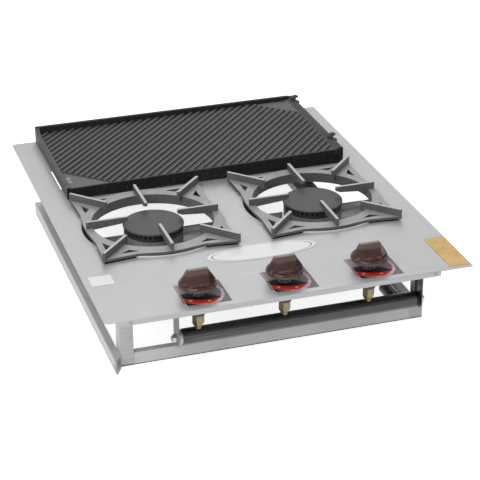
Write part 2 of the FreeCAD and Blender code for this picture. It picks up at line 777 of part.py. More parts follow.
def build_runner(label, middle_x, start_y, cup_x=None):
    """Channel along the depth that carries one end of the griddle burner."""
    body = start_body(label, middle_x, 0, plate_top)
    web_top = -bridge_web_drop
    web_bottom = web_top - bridge_sheet
    half = runner_half_width
    length = runner_back_y - start_y
    prism(body, "XZ", start_y, length, [polygon([
        (-half, web_bottom), (half, web_bottom), (half, web_top + runner_flange),
        (half - bridge_sheet, web_top + runner_flange), (half - bridge_sheet, web_top),
        (-half + bridge_sheet, web_top), (-half + bridge_sheet, web_top + runner_flange),
        (-half, web_top + runner_flange),
    ])])
    prism(body, "XZ", runner_back_y - bridge_sheet, bridge_sheet,
          [rectangle(-half, web_bottom, half, -plate_thick)])
    prism(body, "XZ", runner_back_y - bridge_sheet, runner_foot,
          [rectangle(-half, -plate_thick - bridge_sheet, half, -plate_thick)])
    prism(body, "XY", web_top, runner_flange + bridge_sheet, [
        rectangle(-half - bridge_sheet, bar_burner_y - runner_relief,
                  half + bridge_sheet, bar_burner_y + runner_relief),
    ], cut=True)
    if cup_x is not None:
        prism(body, "XY", web_top, runner_flange + bridge_sheet,
              [circle(cup_x - middle_x, burner_line_y, bridge_relief_radius)], cut=True)


def build_burner_screws():
    """Screws that hold the burner cups to the bridge from below."""
    screws = []
    for name, centre_x in (("left", burner_left_x), ("right", burner_right_x)):
        base = plate_top - bridge_web_drop - bridge_sheet
        body = start_body("burner_screw_" + name, centre_x, burner_line_y, base)
        prism(body, "XY", -screw_head_height, screw_head_height, [hexagon(screw_head_flat)])
        prism(body, "XY", 0, bridge_sheet + cup_floor, [circle(0, 0, screw_radius)])
        screws.append(body)
    join_solids("burner_screws", screws)


def build_ring_burner(side, centre_x, tap_number):
    """Cast burner cup with a slotted rim and its mixing tube."""
    body = start_body("burner_body_" + side, centre_x, burner_line_y, plate_top)
    bottom = -cup_bottom_drop
    rim = -cup_rim_drop
    inner = cup_radius - cup_wall
    groove_low = -cup_groove_drop - cup_groove_width
    shallow = cup_radius - cup_groove_depth
    turned(body, [
        (screw_radius, bottom), (cup_radius - cup_chamfer, bottom), (cup_radius, bottom + cup_chamfer),
        (cup_radius, groove_low), (shallow, groove_low), (shallow, -cup_groove_drop),
        (cup_radius, -cup_groove_drop), (cup_radius, rim), (inner, rim),
        (inner, bottom + cup_floor), (screw_radius, bottom + cup_floor),
    ])
    port = prism(body, "XY", rim - port_depth, port_depth + 1, [
        rectangle(inner - 2, -port_width / 2, cup_radius + 2, port_width / 2),
    ], cut=True)
    polar_copies(body, port, port_count)
    tube_x = tap_pitch * tap_number - centre_x
    mouth = tap_line_y + mixer_mouth_reach - burner_line_y
    tube_end = -cup_radius + 3
    prism(body, "XZ", mouth, tube_end - mouth, [circle(tube_x, -mixer_drop, mixer_radius)])
    prism(body, "XZ", mouth, tube_end - mouth + cup_wall,
          [circle(tube_x, -mixer_drop, mixer_bore)], cut=True)
    cut_mixer_windows(body, tube_x, mouth)


def cut_mixer_windows(body, tube_x, mouth):
    """Cut the upper and lower air windows near the mouth of a mixing tube."""
    window_low = mouth + mixer_window_start
    prism(body, "XY", -mixer_drop - mixer_radius - 1, mixer_radius * 2 + 2, [
        rectangle(tube_x - mixer_window_width / 2, window_low,
                  tube_x + mixer_window_width / 2, window_low + mixer_window_length),
    ], cut=True)


def build_burner_cap(side, centre_x):
    """Flat round cap that drops into the burner cup."""
    body = start_body("burner_cap_" + side, centre_x, burner_line_y,
                      plate_top - cup_rim_drop + rest_gap)
    ring_inner = cap_ring_radius - cap_ring_wall
    turned(body, [
        (0, 0), (ring_inner, 0), (ring_inner, -cap_ring_drop),
        (cap_ring_radius, -cap_ring_drop), (cap_ring_radius, 0),
        (cap_radius - cap_edge, 0), (cap_radius, cap_edge),
        (cap_radius, cap_thick - cap_edge * 1.5), (cap_radius - cap_edge, cap_thick - cap_edge / 2),
        (cap_radius - cap_edge * 4, cap_thick), (0, cap_thick),
    ])


def build_bar_burner():
    """Straight griddle burner with port slots and its long mixing tube."""
    body = start_body("griddle_burner", 0, 0, plate_top)
    half = bar_burner_half
    prism(body, "YZ", -half, half * 2,
          [circle(bar_burner_y, -bar_burner_drop, bar_burner_radius)])
    mouth = tap_line_y + mixer_mouth_reach
    prism(body, "XZ", mouth, bar_burner_y - mouth, [circle(0, -mixer_drop, mixer_radius)])
    prism(body, "YZ", -half, half * 2,
          [circle(bar_burner_y, -bar_burner_drop, bar_burner_bore)], cut=True)
    for low_x in (-half, half - bar_end_wall):
        prism(body, "YZ", low_x, bar_end_wall,
              [circle(bar_burner_y, -bar_burner_drop, bar_burner_radius)])
    prism(body, "XZ", mouth, bar_burner_y - bar_burner_bore / 2 - mouth,
          [circle(0, -mixer_drop, mixer_bore)], cut=True)
    cut_mixer_windows(body, zero, mouth)
    row = (half - bar_port_margin) * 2
    port = prism(body, "XY", -bar_burner_drop, bar_burner_radius + 1, [
        rectangle(-row / 2 - bar_port_width / 2, bar_burner_y - bar_port_length / 2,
                  -row / 2 + bar_port_width / 2, bar_burner_y + bar_port_length / 2),
    ], cut=True)
    linear_copies(body, port, "H_Axis", row, bar_port_count)


def build_shutter(side, tap_number):
    """Turning sleeve that covers the air windows of one mixing tube."""
    backward = FreeCAD.Rotation(FreeCAD.Vector(1, 0, 0), -90)
    mouth = tap_line_y + mixer_mouth_reach
    body = start_body("air_shutter_" + side, tap_pitch * tap_number,
                      mouth + shutter_start, plate_top - mixer_drop, backward)
    inner = mixer_radius + running_gap
    outer = inner + shutter_wall
    prism(body, "XY", 0, shutter_length, [circle(0, 0, outer)])
    prism(body, "XY", shutter_length / 2 - shutter_tab_length / 2, shutter_tab_length,
          [rectangle(outer - 1, -shutter_tab_half, outer + shutter_tab, shutter_tab_half)])
    prism(body, "XY", -1, shutter_length + 2, [circle(0, 0, inner)], cut=True)
    window_low = mixer_window_start - shutter_start
    prism(body, "XZ", -outer - 1, outer * 2 + 2, [
        rectangle(-mixer_window_width / 2, window_low,
                  mixer_window_width / 2, window_low + mixer_window_length),
    ], cut=True)


def grate_outline(half_x, half_y):
    """Return the frame's outline, drawn in between its corners and its four feet."""
    quarter = [
        (half_x + grate_foot_swell, grate_foot_half),
        (half_x - grate_side_waist, grate_waist_at),
        (half_x, half_y),
        (grate_waist_at, half_y - grate_end_waist),
        (grate_foot_half, half_y + grate_foot_swell),
    ]
    points = []
    for sign_x, sign_y in ((1, 1), (-1, 1), (-1, -1), (1, -1)):
        corner = [(x * sign_x, y * sign_y) for x, y in quarter]
        points.extend(corner if sign_x == sign_y else reversed(corner))
    return polygon(points)


def grate_holes(half_x, half_y):
    """Return the small three-cornered holes, two beside each vane."""
    side_bar = half_x - grate_hole_bar
    end_bar = half_y - grate_hole_end_bar
    holes = []
    for sign_x in (-1, 1):
        for sign_y in (-1, 1):
            beside = [
                (side_bar, half_y - grate_hole_near),
                (side_bar - grate_hole_width, half_y - grate_hole_tip),
                (side_bar, half_y - grate_hole_far),
            ]
            across = [
                (half_x - grate_hole_near, end_bar),
                (half_x - grate_hole_tip, end_bar - grate_hole_width),
                (half_x - grate_hole_far, end_bar),
            ]
            for corners in (beside, across):
                holes.append(polygon([(x * sign_x, y * sign_y) for x, y in corners]))
    return holes


def grate_vane(half_x, half_y, sign_x, sign_y):
    """Return the footprint of the upright vane that runs out to one corner."""
    slant = math.atan2(half_y.value, half_x.value)
    reach = math.hypot(half_x.value, half_y.value)
    along_x = math.cos(slant) * sign_x
    along_y = math.sin(slant) * sign_y
    corner_x = half_x * (reach * along_x / half_x.value)
    corner_y = half_y * (reach * along_y / half_y.value)
    side_x = vane_thick * (-along_y / 2)
    side_y = vane_thick * (along_x / 2)
    return polygon([
        (vane_reach * along_x + side_x, vane_reach * along_y + side_y),
        (vane_reach * along_x - side_x, vane_reach * along_y - side_y),
        (corner_x - side_x, corner_y - side_y),
        (corner_x + side_x, corner_y + side_y),
    ])


def build_grate(side, centre_x):
    """Cast pan support with a ring, corner vanes and four fingers."""
    body = start_body("grate_" + side, centre_x, grate_line_y, plate_top)
    half_x = grate_width / 2
    half_y = grate_depth / 2
    ring_outer = grate_ring_radius + grate_ring_wall
    prism(body, "XY", grate_bar_bottom, grate_bar_top - grate_bar_bottom,
          [grate_outline(half_x, half_y)])
    prism(body, "XY", -grate_skirt_drop, grate_skirt_drop + grate_bar_top,
          [circle(0, 0, ring_outer)])
    prism(body, "XY", -grate_skirt_drop - 1, grate_skirt_drop + grate_bar_top + 2,
          [circle(0, 0, grate_ring_radius)], cut=True)
    prism(body, "XY", grate_bar_bottom - 1, grate_bar_top, grate_holes(half_x, half_y), cut=True)
    for sign_x in (-1, 1):
        for sign_y in (-1, 1):
            prism(body, "XY", grate_bar_bottom, grate_top - grate_bar_bottom,
                  [grate_vane(half_x, half_y, sign_x, sign_y)])
    for sign in (-1, 1):
        for plane, half in (("XZ", half_x), ("YZ", half_y)):
            prism(body, plane, -vane_thick / 2, vane_thick, [polygon([
                (finger_reach * sign, finger_tip_bottom + finger_tip_rise),
                (finger_reach * sign, grate_top - finger_tip_nose),
                ((finger_reach + finger_tip_nose) * sign, grate_top),
                (half * sign, grate_top), (half * sign, grate_bar_bottom),
                (ring_outer * sign, finger_root_bottom),
                (grate_ring_radius * sign, finger_root_bottom),
                ((finger_reach + finger_tip_slant) * sign, finger_tip_bottom),
            ])])


def griddle_slope():
    """Return the rise of the griddle's floor from left to right, per millimetre."""
    run = griddle_right_x - griddle_left_x
    return (griddle_floor_right - griddle_floor_left) / run


def build_griddle():
    """Cast ribbed griddle with raised walls, a drain and two lifting ears."""
    body = start_body("griddle", 0, 0, plate_top)
    left = griddle_left_x
    right = griddle_right_x
    front = griddle_front_y
    back = griddle_back_y
    rib_left = griddle_floor_left + griddle_rib_height
    rib_right = griddle_floor_right + griddle_rib_height
    prism(body, "XZ", front, back - front, [polygon([
        (left, rest_gap), (right, rest_gap), (right, rib_right), (left, rib_left),
    ])])
    slope = griddle_slope()
    tilt_angle = math.degrees(math.atan(slope.value))
    tilt = FreeCAD.Rotation(FreeCAD.Vector(0, 1, 0), -tilt_angle)
    middle_x = (left.value + right.value) / 2
    middle_floor = (griddle_floor_left.value + griddle_floor_right.value) / 2
    floor_base = FreeCAD.Vector(middle_x, 0, middle_floor)
    floor_plane = FreeCAD.Placement(floor_base, tilt)
    prism(body, "XY", 0, griddle_rib_height * 3, [
        polygon([(left - rib_trim, front - rib_trim), (left + plain_front_left, front - rib_trim),
                 (left + plain_front_left, front), (left, front + plain_front_left),
                 (left - rib_trim, front + plain_front_left)]),
        polygon([(right + rib_trim, back + rib_trim),
                 (right - plain_back_right - griddle_right_slope, back + rib_trim),
                 (right - plain_back_right - griddle_right_slope, back - griddle_wall),
                 (right - griddle_right_slope, back - plain_back_right - griddle_wall),
                 (right + rib_trim, back - plain_back_right - griddle_wall)]),
    ], cut=True, tilt=floor_plane)
    turn = FreeCAD.Rotation(FreeCAD.Vector(0, 0, 1), rib_angle + 90)
    upright = FreeCAD.Rotation(FreeCAD.Vector(1, 0, 0), 90)
    middle_y = (front.value + back.value) / 2
    row = rib_pitch * (groove_count - 1)
    across = FreeCAD.Placement(FreeCAD.Vector(middle_x, middle_y, middle_floor), tilt)
    away = across.multiply(FreeCAD.Placement(FreeCAD.Vector(0, 0, 0), turn))
    away = away.multiply(FreeCAD.Placement(FreeCAD.Vector(0, -groove_run.value, 0), upright))
    groove = prism(body, "XY", 0, groove_run * 2, [polygon([
        (-row / 2 - rib_groove_bottom / 2, 0), (-row / 2 + rib_groove_bottom / 2, 0),
        (-row / 2 + rib_groove_top / 2, griddle_rib_height + groove_mouth),
        (-row / 2 - rib_groove_top / 2, griddle_rib_height + groove_mouth),
    ])], cut=True, tilt=away)
    groove.Reversed = False
    linear_copies(body, groove, "H_Axis", row, groove_count)
    low = griddle_hollow + 1
    prism(body, "XZ", front, back - front, [polygon([
        (left, low), (left + griddle_wall, low),
        (left + griddle_wall, griddle_left_wall_top - griddle_edge_fall),
        (left + griddle_wall - griddle_edge_run, griddle_left_wall_top),
        (left + griddle_edge_run, griddle_left_wall_top),
        (left, griddle_left_wall_top - griddle_edge_fall),
    ])])
    slope_foot = right - griddle_right_slope - griddle_wall
    prism(body, "XZ", front, back - front, [polygon([
        (slope_foot, low), (right, low),
        (right, griddle_right_wall_top - griddle_edge_fall),
        (right - griddle_edge_run, griddle_right_wall_top),
        (right - griddle_wall, griddle_right_wall_top),
        (right - griddle_wall - griddle_knee_run, griddle_floor_right + griddle_knee_rise),
        (slope_foot, griddle_floor_right - griddle_foot_sink),
    ])])
    prism(body, "XZ", back - griddle_wall, griddle_wall, [polygon([
        (left, low), (right, low), (right, griddle_right_wall_top - griddle_edge_fall),
        (right - griddle_corner_cut, griddle_back_wall_top), (left, griddle_back_wall_top),
    ])])
    prism(body, "XZ", front, griddle_front_rim, [polygon([
        (left, low), (right - griddle_rim_trim, low),
        (right - griddle_rim_trim, rib_right), (left, rib_left),
    ])])
    prism(body, "YZ", left, griddle_wall, [polygon([
        (back - griddle_wall, low), (back - griddle_wall, griddle_back_wall_top),
        (back - griddle_wall - griddle_sweep_step, griddle_back_wall_top - griddle_sweep_step),
        (back - griddle_wall - griddle_sweep_shoulder, griddle_left_wall_top + griddle_sweep_step),
        (back - griddle_left_sweep, griddle_left_wall_top - griddle_edge_fall),
        (back - griddle_left_sweep, low),
    ])])
    skirt = griddle_skirt
    prism(body, "XY", 0, griddle_hollow, [
        rectangle(left + skirt, front + skirt, right - skirt, back - skirt),
    ], cut=True)
    drains = []
    drain_x = left + drain_left_inset
    for sign in (-0.5, 0.5):
        centre_y = front + drain_front_inset + drain_pitch * sign
        drains.append(rectangle(
            drain_x - drain_width / 2, centre_y - drain_length / 2,
            drain_x + drain_width / 2, centre_y + drain_length / 2))
    prism(body, "XY", griddle_hollow - 1, griddle_floor_right, drains, cut=True)
    ear_x = right - ear_sink
    ear_z = griddle_right_wall_top - griddle_edge_fall
    ear_root = ear_radius - ear_root_trim
    ear_clear = ear_radius + ear_root_trim
    ear_places = (front + ear_front_inset, back - ear_back_inset)
    for centre_y in ear_places:
        prism(body, "XZ", centre_y - ear_thick / 2, ear_thick,
              [circle(ear_x, ear_z, ear_radius)])
    for centre_y in ear_places:
        prism(body, "XZ", centre_y - ear_thick / 2 - 1, ear_thick + 2, [
            polygon([(ear_x - ear_sink, ear_z), (ear_x + ear_clear, ear_z - ear_mouth_drop),
                     (ear_x + ear_clear, ear_z + ear_hole),
                     (ear_x + ear_hole, ear_z + ear_root), (ear_x, ear_z + ear_hole)]),
        ], cut=True)


def build_manifold():
    """Black gas pipe under the taps with tapped seats."""
    body = start_body("manifold_pipe", 0, tap_line_y, plate_top - manifold_drop)
    length = manifold_right_x - manifold_left_x
    prism(body, "YZ", manifold_left_x, length, [
        circle(0, 0, manifold_radius), circle(0, 0, manifold_bore),
    ])
    seat = tap_neck_radius + tap_thread_gap
    prism(body, "XY", 0, manifold_radius + 1,
          [circle(tap_pitch * number, 0, seat) for number in (-1, 0, 1)], cut=True)
    prism(body, "XZ", 0, manifold_radius + 1,
          [circle(inlet_x, 0, inlet_neck_radius + tap_thread_gap)], cut=True)


def build_end_plugs():
    """Stopper with a stud at each end of the manifold."""
    plugs = []
    ends = (("left", manifold_left_x, -90), ("right", manifold_right_x, 90))
    for side, end_x, angle in ends:
        outward = FreeCAD.Rotation(FreeCAD.Vector(0, 1, 0), angle)
        body = start_body("manifold_plug_" + side, end_x, tap_line_y,
                          plate_top - manifold_drop, outward)
        spigot = manifold_bore - tap_thread_gap
        tip = plug_flange_length + plug_stud_length
        turned(body, [
            (0, -plug_spigot_length), (spigot, -plug_spigot_length), (spigot, 0),
            (plug_flange_radius, 0), (plug_flange_radius, plug_flange_length - 1),
            (plug_flange_radius - 1, plug_flange_length), (plug_stud_radius, plug_flange_length),
            (plug_stud_radius, tip - fine_chamfer), (plug_stud_radius - fine_chamfer, tip), (0, tip),
        ])
        plugs.append(body)
    join_solids("manifold_plugs", plugs)


def build_straps():
    """Hanging strap at each end that holds the manifold to the plate."""
    nuts = []
    centre_z = plate_top - manifold_drop
    rise = plate_under - centre_z
    half = strap_width / 2
    ends = (
        ("left", manifold_left_x - plug_flange_length, -1),
        ("right", manifold_right_x + plug_flange_length, 1),
    )
    for side, face_x, outward in ends:
        body = start_body("manifold_strap_" + side, face_x, tap_line_y, centre_z)
        low_x = zero if outward > 0 else -strap_sheet
        prism(body, "YZ", low_x, strap_sheet, [circle(0, 0, half)])
        prism(body, "YZ", low_x, strap_sheet, [rectangle(-half, 0, half, rise)])
        foot_low = zero if outward > 0 else -strap_foot
        prism(body, "XY", rise - strap_sheet, strap_sheet,
              [rectangle(foot_low, -half, foot_low + strap_foot, half)])
        hole = plug_stud_radius + running_gap
        prism(body, "YZ", low_x - 1, strap_sheet + 2, [circle(0, 0, hole)], cut=True)
        nut_x = face_x + strap_sheet * outward
        turn = FreeCAD.Rotation(FreeCAD.Vector(0, 1, 0), 90 * outward)
        nut = start_body("strap_nut_" + side, nut_x, tap_line_y, centre_z, turn)
        prism(nut, "XY", 0, strap_nut_length, [hexagon(strap_nut_flat), circle(0, 0, plug_stud_radius)])
        nuts.append(nut)
    join_solids("strap_nuts", nuts)


def build_inlet():
    """Threaded gas inlet nipple at the back of the manifold."""
    backward = FreeCAD.Rotation(FreeCAD.Vector(1, 0, 0), -90)
    body = start_body("gas_inlet", inlet_x, tap_line_y, plate_top - manifold_drop, backward)
    shoulder = manifold_radius + inlet_shoulder_gap
    end = shoulder + inlet_length
    turned(body, [
        (inlet_bore, inlet_neck_start), (inlet_neck_radius, inlet_neck_start),
        (inlet_neck_radius, shoulder), (inlet_radius, shoulder), (inlet_radius, end - 1),
        (inlet_radius - 1, end), (inlet_bore, end),
    ])


def build_tap(side, number):
    """Make one tap with its knob and return its gas jet."""
    centre_x = tap_pitch * number
    place = (centre_x, tap_line_y, plate_top)
    build_tap_body(side, place)
    build_tap_plug(side, place)
    build_tap_stem(side, place)
    build_tap_spring(side, place)
    build_tap_bonnet(side, place)
    build_knob(side, place)
    return build_jet(side, place)


def build_tap_body(side, place):
    """Forged brass body from the manifold seat up to the spring chamber."""
    body = start_body("tap_body_" + side, *place)
    turned(body, [
        (tap_passage_radius, -tap_neck_bottom), (tap_neck_radius, -tap_neck_bottom),
        (tap_neck_radius, -tap_hex_bottom), (tap_washer_bore, -tap_hex_bottom),
        (tap_washer_bore, -tap_barrel_bottom), (tap_barrel_radius, -tap_barrel_bottom),
        (tap_barrel_radius, -tap_barrel_top), (tap_chamber_radius, -tap_barrel_top),
        (tap_chamber_radius, -tap_cone_top), (tap_cone_top_radius, -tap_cone_top),
        (tap_cone_bottom_radius, -tap_cone_bottom), (tap_passage_radius, -tap_cone_bottom),
    ])
    prism(body, "XY", -tap_hex_bottom, tap_hex_bottom - tap_hex_top,
          [hexagon(tap_hex_flat), circle(0, 0, tap_passage_radius + 1)])
    shell = tap_cone_top_radius + 1
    prism(body, "XZ", shell, tap_outlet_reach - shell, [circle(0, -mixer_drop, tap_outlet_radius)])
    prism(body, "XZ", 0, tap_outlet_reach, [circle(0, -mixer_drop, plug_port_radius)], cut=True)
    prism(body, "XZ", tap_barrel_radius, tap_outlet_reach - tap_barrel_radius,
          [circle(0, -mixer_drop, jet_thread_radius + tap_thread_gap)], cut=True)


def build_tap_plug(side, place):
    """Tapered plug that turns in the tap body and opens its side port."""
    body = start_body("tap_plug_" + side, *place)
    taper = (tap_cone_top_radius - tap_cone_bottom_radius) / (tap_cone_bottom - tap_cone_top)
    foot_radius = tap_cone_bottom_radius + taper * plug_end_gap - running_gap
    turned(body, [
        (0, -tap_cone_bottom + plug_end_gap), (foot_radius, -tap_cone_bottom + plug_end_gap),
        (tap_cone_top_radius - running_gap, -tap_cone_top), (0, -tap_cone_top),
    ])
    prism(body, "XY", -tap_cone_top - plug_slot_depth, plug_slot_depth + 1, [
        rectangle(-tap_cone_top_radius - 1, -plug_slot_width / 2,
                  tap_cone_top_radius + 1, plug_slot_width / 2),
    ], cut=True)
    prism(body, "YZ", 0, tap_cone_top_radius + 1, [circle(0, -mixer_drop, plug_port_radius)], cut=True)
    prism(body, "XY", -tap_cone_bottom, tap_cone_bottom - mixer_drop,
          [circle(0, 0, plug_port_radius)], cut=True)


def build_tap_stem(side, place):
    """Steel stem with a tang below and a square end for the knob."""
    body = start_body("tap_stem_" + side, *place)
    turned(body, [
        (0, -stem_shaft_bottom), (stem_radius, -stem_shaft_bottom),
        (stem_radius, -stem_flange_bottom), (stem_flange_radius, -stem_flange_bottom),
        (stem_flange_radius, -stem_flange_top), (stem_radius, -stem_flange_top),
        (stem_radius, stem_square_start), (0, stem_square_start),
    ])
    tang = stem_tang_width / 2
    blade = stem_tang_thick / 2
    prism(body, "XY", -stem_tang_bottom, stem_tang_bottom - stem_shaft_bottom + fine_chamfer,
          [rectangle(-tang, -blade, tang, blade)])
    half = stem_square / 2
    prism(body, "XY", stem_square_start, stem_top - stem_square_start,
          [rectangle(-half, -half, half, half)])


def arc_to(start, control, end):
    """Return the arc from start to end whose tangents meet at the control point."""
    middle = (start + end) / 2
    bow = control - middle
    half_chord = (end - start).Length / 2
    reach = (control - start).Length
    radius = half_chord * reach / bow.Length
    rise = radius - math.sqrt(radius * radius - half_chord * half_chord)
    return Part.Arc(start, middle + bow / bow.Length * rise, end).toShape()


def coil_path(radius, pitch, turns, steps_per_turn):
    """Return a helix about Z as pairs of tangent arcs, and the points along it."""
    turn = 2 * math.pi
    slope = pitch / turn
    points = []
    tangents = []
    for number in range(turns * steps_per_turn + 1):
        angle = turn * number / steps_per_turn
        place = FreeCAD.Vector(
            radius * math.cos(angle), radius * math.sin(angle), slope * angle)
        points.append(place)
        along = FreeCAD.Vector(-radius * math.sin(angle), radius * math.cos(angle), slope)
        tangents.append(along.normalize())
    edges = []
    for number in range(len(points) - 1):
        start = points[number]
        end = points[number + 1]
        tangent_sum = tangents[number] + tangents[number + 1]
        chord = end - start
        square = tangent_sum.dot(tangent_sum) - 4
        linear = -2 * chord.dot(tangent_sum)
        root = math.sqrt(linear * linear - 4 * square * chord.dot(chord))
        reach = (-linear - root) / (2 * square)
        first = start + tangents[number] * reach
        second = end - tangents[number + 1] * reach
        joint = (first + second) / 2
        edges.append(arc_to(start, first, joint))
        edges.append(arc_to(joint, second, end))
    return edges, points


def build_tap_spring(side, place):
    """Coil that lifts the stem again after the knob has been pushed."""
    wire = spring_wire.value
    low = -tap_cone_top.value + wire / 2 + spring_seat_gap.value
    high = -stem_flange_bottom.value - wire / 2 - spring_seat_gap.value
    pitch = (high - low) / spring_turns
    edges, points = coil_path(spring_radius.value, pitch, spring_turns, spring_steps)
    tangent = edges[0].tangentAt(edges[0].FirstParameter)
    ring = Part.Wire([Part.makeCircle(wire / 2, points[0], tangent)])
    coil = Part.Wire(edges).makePipeShell([ring], True, False)
    if coil.Volume < 0:
        coil.reverse()
    feature = doc.addObject("Part::Feature", "tap_spring_" + side)
    feature.Label = "tap_spring_" + side
    feature.Shape = coil
    base = FreeCAD.Vector(*[as_size(value).value for value in place])
    base.z += low
    feature.Placement = FreeCAD.Placement(base, FreeCAD.Rotation())
    parts.append(feature)
    gaps = []
    for number, point in enumerate(points):
        for other in points[number + spring_steps // 2:]:
            gaps.append((point - other).Length - wire)
    section = math.pi * wire * wire / 4
    length = sum(edge.Length for edge in edges)
    print("spring", side, "least gap", round(min(gaps), 3),
          "volume over section times length", round(coil.Volume / (section * length), 4))


def build_tap_bonnet(side, place):
    """Steel bonnet that closes the tap and passes through the plate."""
    body = start_body("tap_bonnet_" + side, *place)
    bore = stem_radius + running_gap
    turned(body, [
        (tap_chamber_radius, -tap_barrel_top), (tap_barrel_radius, -tap_barrel_top),
        (tap_barrel_radius, -plate_thick), (bonnet_neck_radius, -plate_thick),
        (bonnet_neck_radius, bonnet_neck_top - fine_chamfer),
        (bonnet_neck_radius - fine_chamfer, bonnet_neck_top),
        (bore, bonnet_neck_top), (bore, -bonnet_roof_bottom),
        (tap_chamber_radius, -bonnet_roof_bottom),
    ])


def build_jet(side, place):
    """Brass gas jet screwed into the outlet of the tap."""
    backward = FreeCAD.Rotation(FreeCAD.Vector(1, 0, 0), -90)
    body = start_body("gas_jet_" + side, place[0], place[1] + tap_barrel_radius,
                      place[2] - mixer_drop, backward)
    seat = tap_outlet_reach - tap_barrel_radius
    hex_end = seat + jet_hex_length
    tip = hex_end + jet_nose_length
    turned(body, [
        (jet_orifice, 0), (jet_thread_radius, 0), (jet_thread_radius, seat),
        (jet_nose_radius, seat), (jet_nose_radius, tip - 2), (jet_tip_radius, tip),
        (jet_orifice, tip),
    ])
    prism(body, "XY", seat, jet_hex_length,
          [hexagon(jet_hex_flat), circle(0, 0, jet_nose_radius - fine_chamfer)])
    return body


def build_knob(side, place):
    """Glossy knob with a grip ridge across a round skirt."""
    body = start_body("knob_" + side, place[0], place[1], place[2] + knob_lift)
    turned(body, [
        (0, 0), (knob_radius - knob_round, 0), (knob_radius, knob_round), (knob_radius, knob_edge),
        (knob_top_radius, knob_height), (0, knob_height),
    ])
    span = knob_radius * 2 + 4
    for sign in (-1, 1):
        prism(body, "YZ", -span / 2, span, [polygon([
            ((knob_radius + 2) * sign, knob_ledge), (knob_waist * sign, knob_ledge),
            (knob_ridge * sign, knob_height + 2), ((knob_radius + 2) * sign, knob_height + 2),
        ])], cut=True)
    round_edges(body, knob_round, lambda edge: edge.BoundBox.ZMin > knob_height.value - match_gap)
    prism(body, "XY", -1, knob_recess_depth + 1, [
        circle(0, 0, knob_recess_radius), circle(0, 0, knob_hub_radius),
    ], cut=True)
    half = stem_square / 2 + tap_thread_gap
    prism(body, "XY", -1, knob_bore_depth + 1, [rectangle(-half, -half, half, half)], cut=True)
    shaft_depth = stem_square_start - knob_lift
    prism(body, "XY", -1, shaft_depth + 1, [circle(0, 0, stem_radius + tap_thread_gap)], cut=True)


def build_common_tap_pieces():
    """Sealing washers under the taps and collar nuts above the plate."""
    washers = []
    collars = []
    for side, number in (("left", -1), ("middle", 0), ("right", 1)):
        centre_x = tap_pitch * number
        washer = start_body("tap_washer_" + side, centre_x, tap_line_y, plate_top)
        prism(washer, "XY", -tap_hex_top, tap_hex_top - tap_barrel_bottom, [
            circle(0, 0, tap_washer_radius), circle(0, 0, tap_washer_bore),
        ])
        washers.append(washer)
        collar = start_body("collar_nut_" + side, centre_x, tap_line_y, plate_top)
        prism(collar, "XY", 0, collar_height, [
            hexagon(collar_flat), circle(0, 0, bonnet_neck_radius),
        ])
        collars.append(collar)
    join_solids("tap_washers", washers)
    join_solids("collar_nuts", collars)


def build_dials():
    """Square printed plate under each knob."""
    half = dial_size / 2
    for side, number in (("left", -1), ("middle", 0), ("right", 1)):
        body = start_body("dial_plate_" + side, tap_pitch * number, tap_line_y, plate_top)
        prism(body, "XY", 0, dial_thick, [
            rectangle(dial_offset_x - half, dial_offset_y - half,
                      dial_offset_x + half, dial_offset_y + half),
            circle(0, 0, dial_hole_radius),
        ])


def build_badge():
    """Blank oval badge behind the middle knob."""
    outline = doc.addObject("Part::Ellipse", "badge_outline")
    outline.setExpression("MajorRadius", badge_half_length.text)
    outline.setExpression("MinorRadius", badge_half_depth.text)
    badge_y = plate_front + badge_inset
    base = FreeCAD.Vector(0, badge_y.value, plate_top.value)
    outline.Placement = FreeCAD.Placement(base, FreeCAD.Rotation())
    outline.setExpression(".Placement.Base.y", badge_y.text)
    outline.setExpression(".Placement.Base.z", plate_top.text)
    badge = doc.addObject("Part::Extrusion", "badge_plate")
    badge.Label = "badge_plate"
    badge.Base = outline
    badge.DirMode = "Custom"
    badge.Dir = FreeCAD.Vector(0, 0, 1)
    badge.setExpression("LengthFwd", badge_thick.text)
    badge.Solid = True
    parts.append(badge)


def build_labels():
    """Blank rating label and plain amber label."""
    labels = (
        ("rating_label", plate_left + white_label_left_inset,
         plate_front + white_label_front_inset, white_label_width, white_label_depth),
        ("amber_label", plate_right - amber_label_right_inset,
         plate_front + amber_label_front_inset, amber_label_width, amber_label_depth),
    )
    for label, centre_x, centre_y, width, depth in labels:
        body = start_body(label, centre_x, centre_y, plate_top)
        prism(body, "XY", 0, label_thick,
              [rectangle(-width / 2, -depth / 2, width / 2, depth / 2)])


build_top_plate()
build_lip_rivets()
build_posts()
build_cross_rail("rail_front", frame_front_y, 1)
build_cross_rail("rail_back", frame_back_y, -1)
build_left_rail()
build_right_rail()
build_bridge()
build_runner("griddle_runner_right", runner_x, bridge_back_y, burner_right_x)
build_runner("griddle_runner_left", -runner_x, bar_burner_y - runner_short_lead)
build_burner_screws()
for side_name, middle_x, tap_number in (("left", burner_left_x, -1), ("right", burner_right_x, 1)):
    build_ring_burner(side_name, middle_x, tap_number)
    build_burner_cap(side_name, middle_x)
    build_grate(side_name, middle_x)
build_bar_burner()
build_griddle()
build_manifold()
build_end_plugs()
build_straps()
build_inlet()
build_common_tap_pieces()
jets = []
for side_name, tap_number in (("left", -1), ("middle", 0), ("right", 1)):
    build_shutter(side_name, tap_number)
    jets.append(build_tap(side_name, tap_number))
join_solids("gas_jets", jets)
build_dials()
build_badge()
build_labels()
doc.recompute()

problems = []
for item in doc.Objects:
    if "Invalid" in item.State or "Error" in item.State:
        problems.append(item.Name + " " + ",".join(item.State))
for item in parts:
    shape = item.Shape
    if shape.isNull() or not shape.isValid() or not shape.Solids:
        problems.append(item.Label + " has no valid solid")
if problems:
    raise RuntimeError("; ".join(problems))

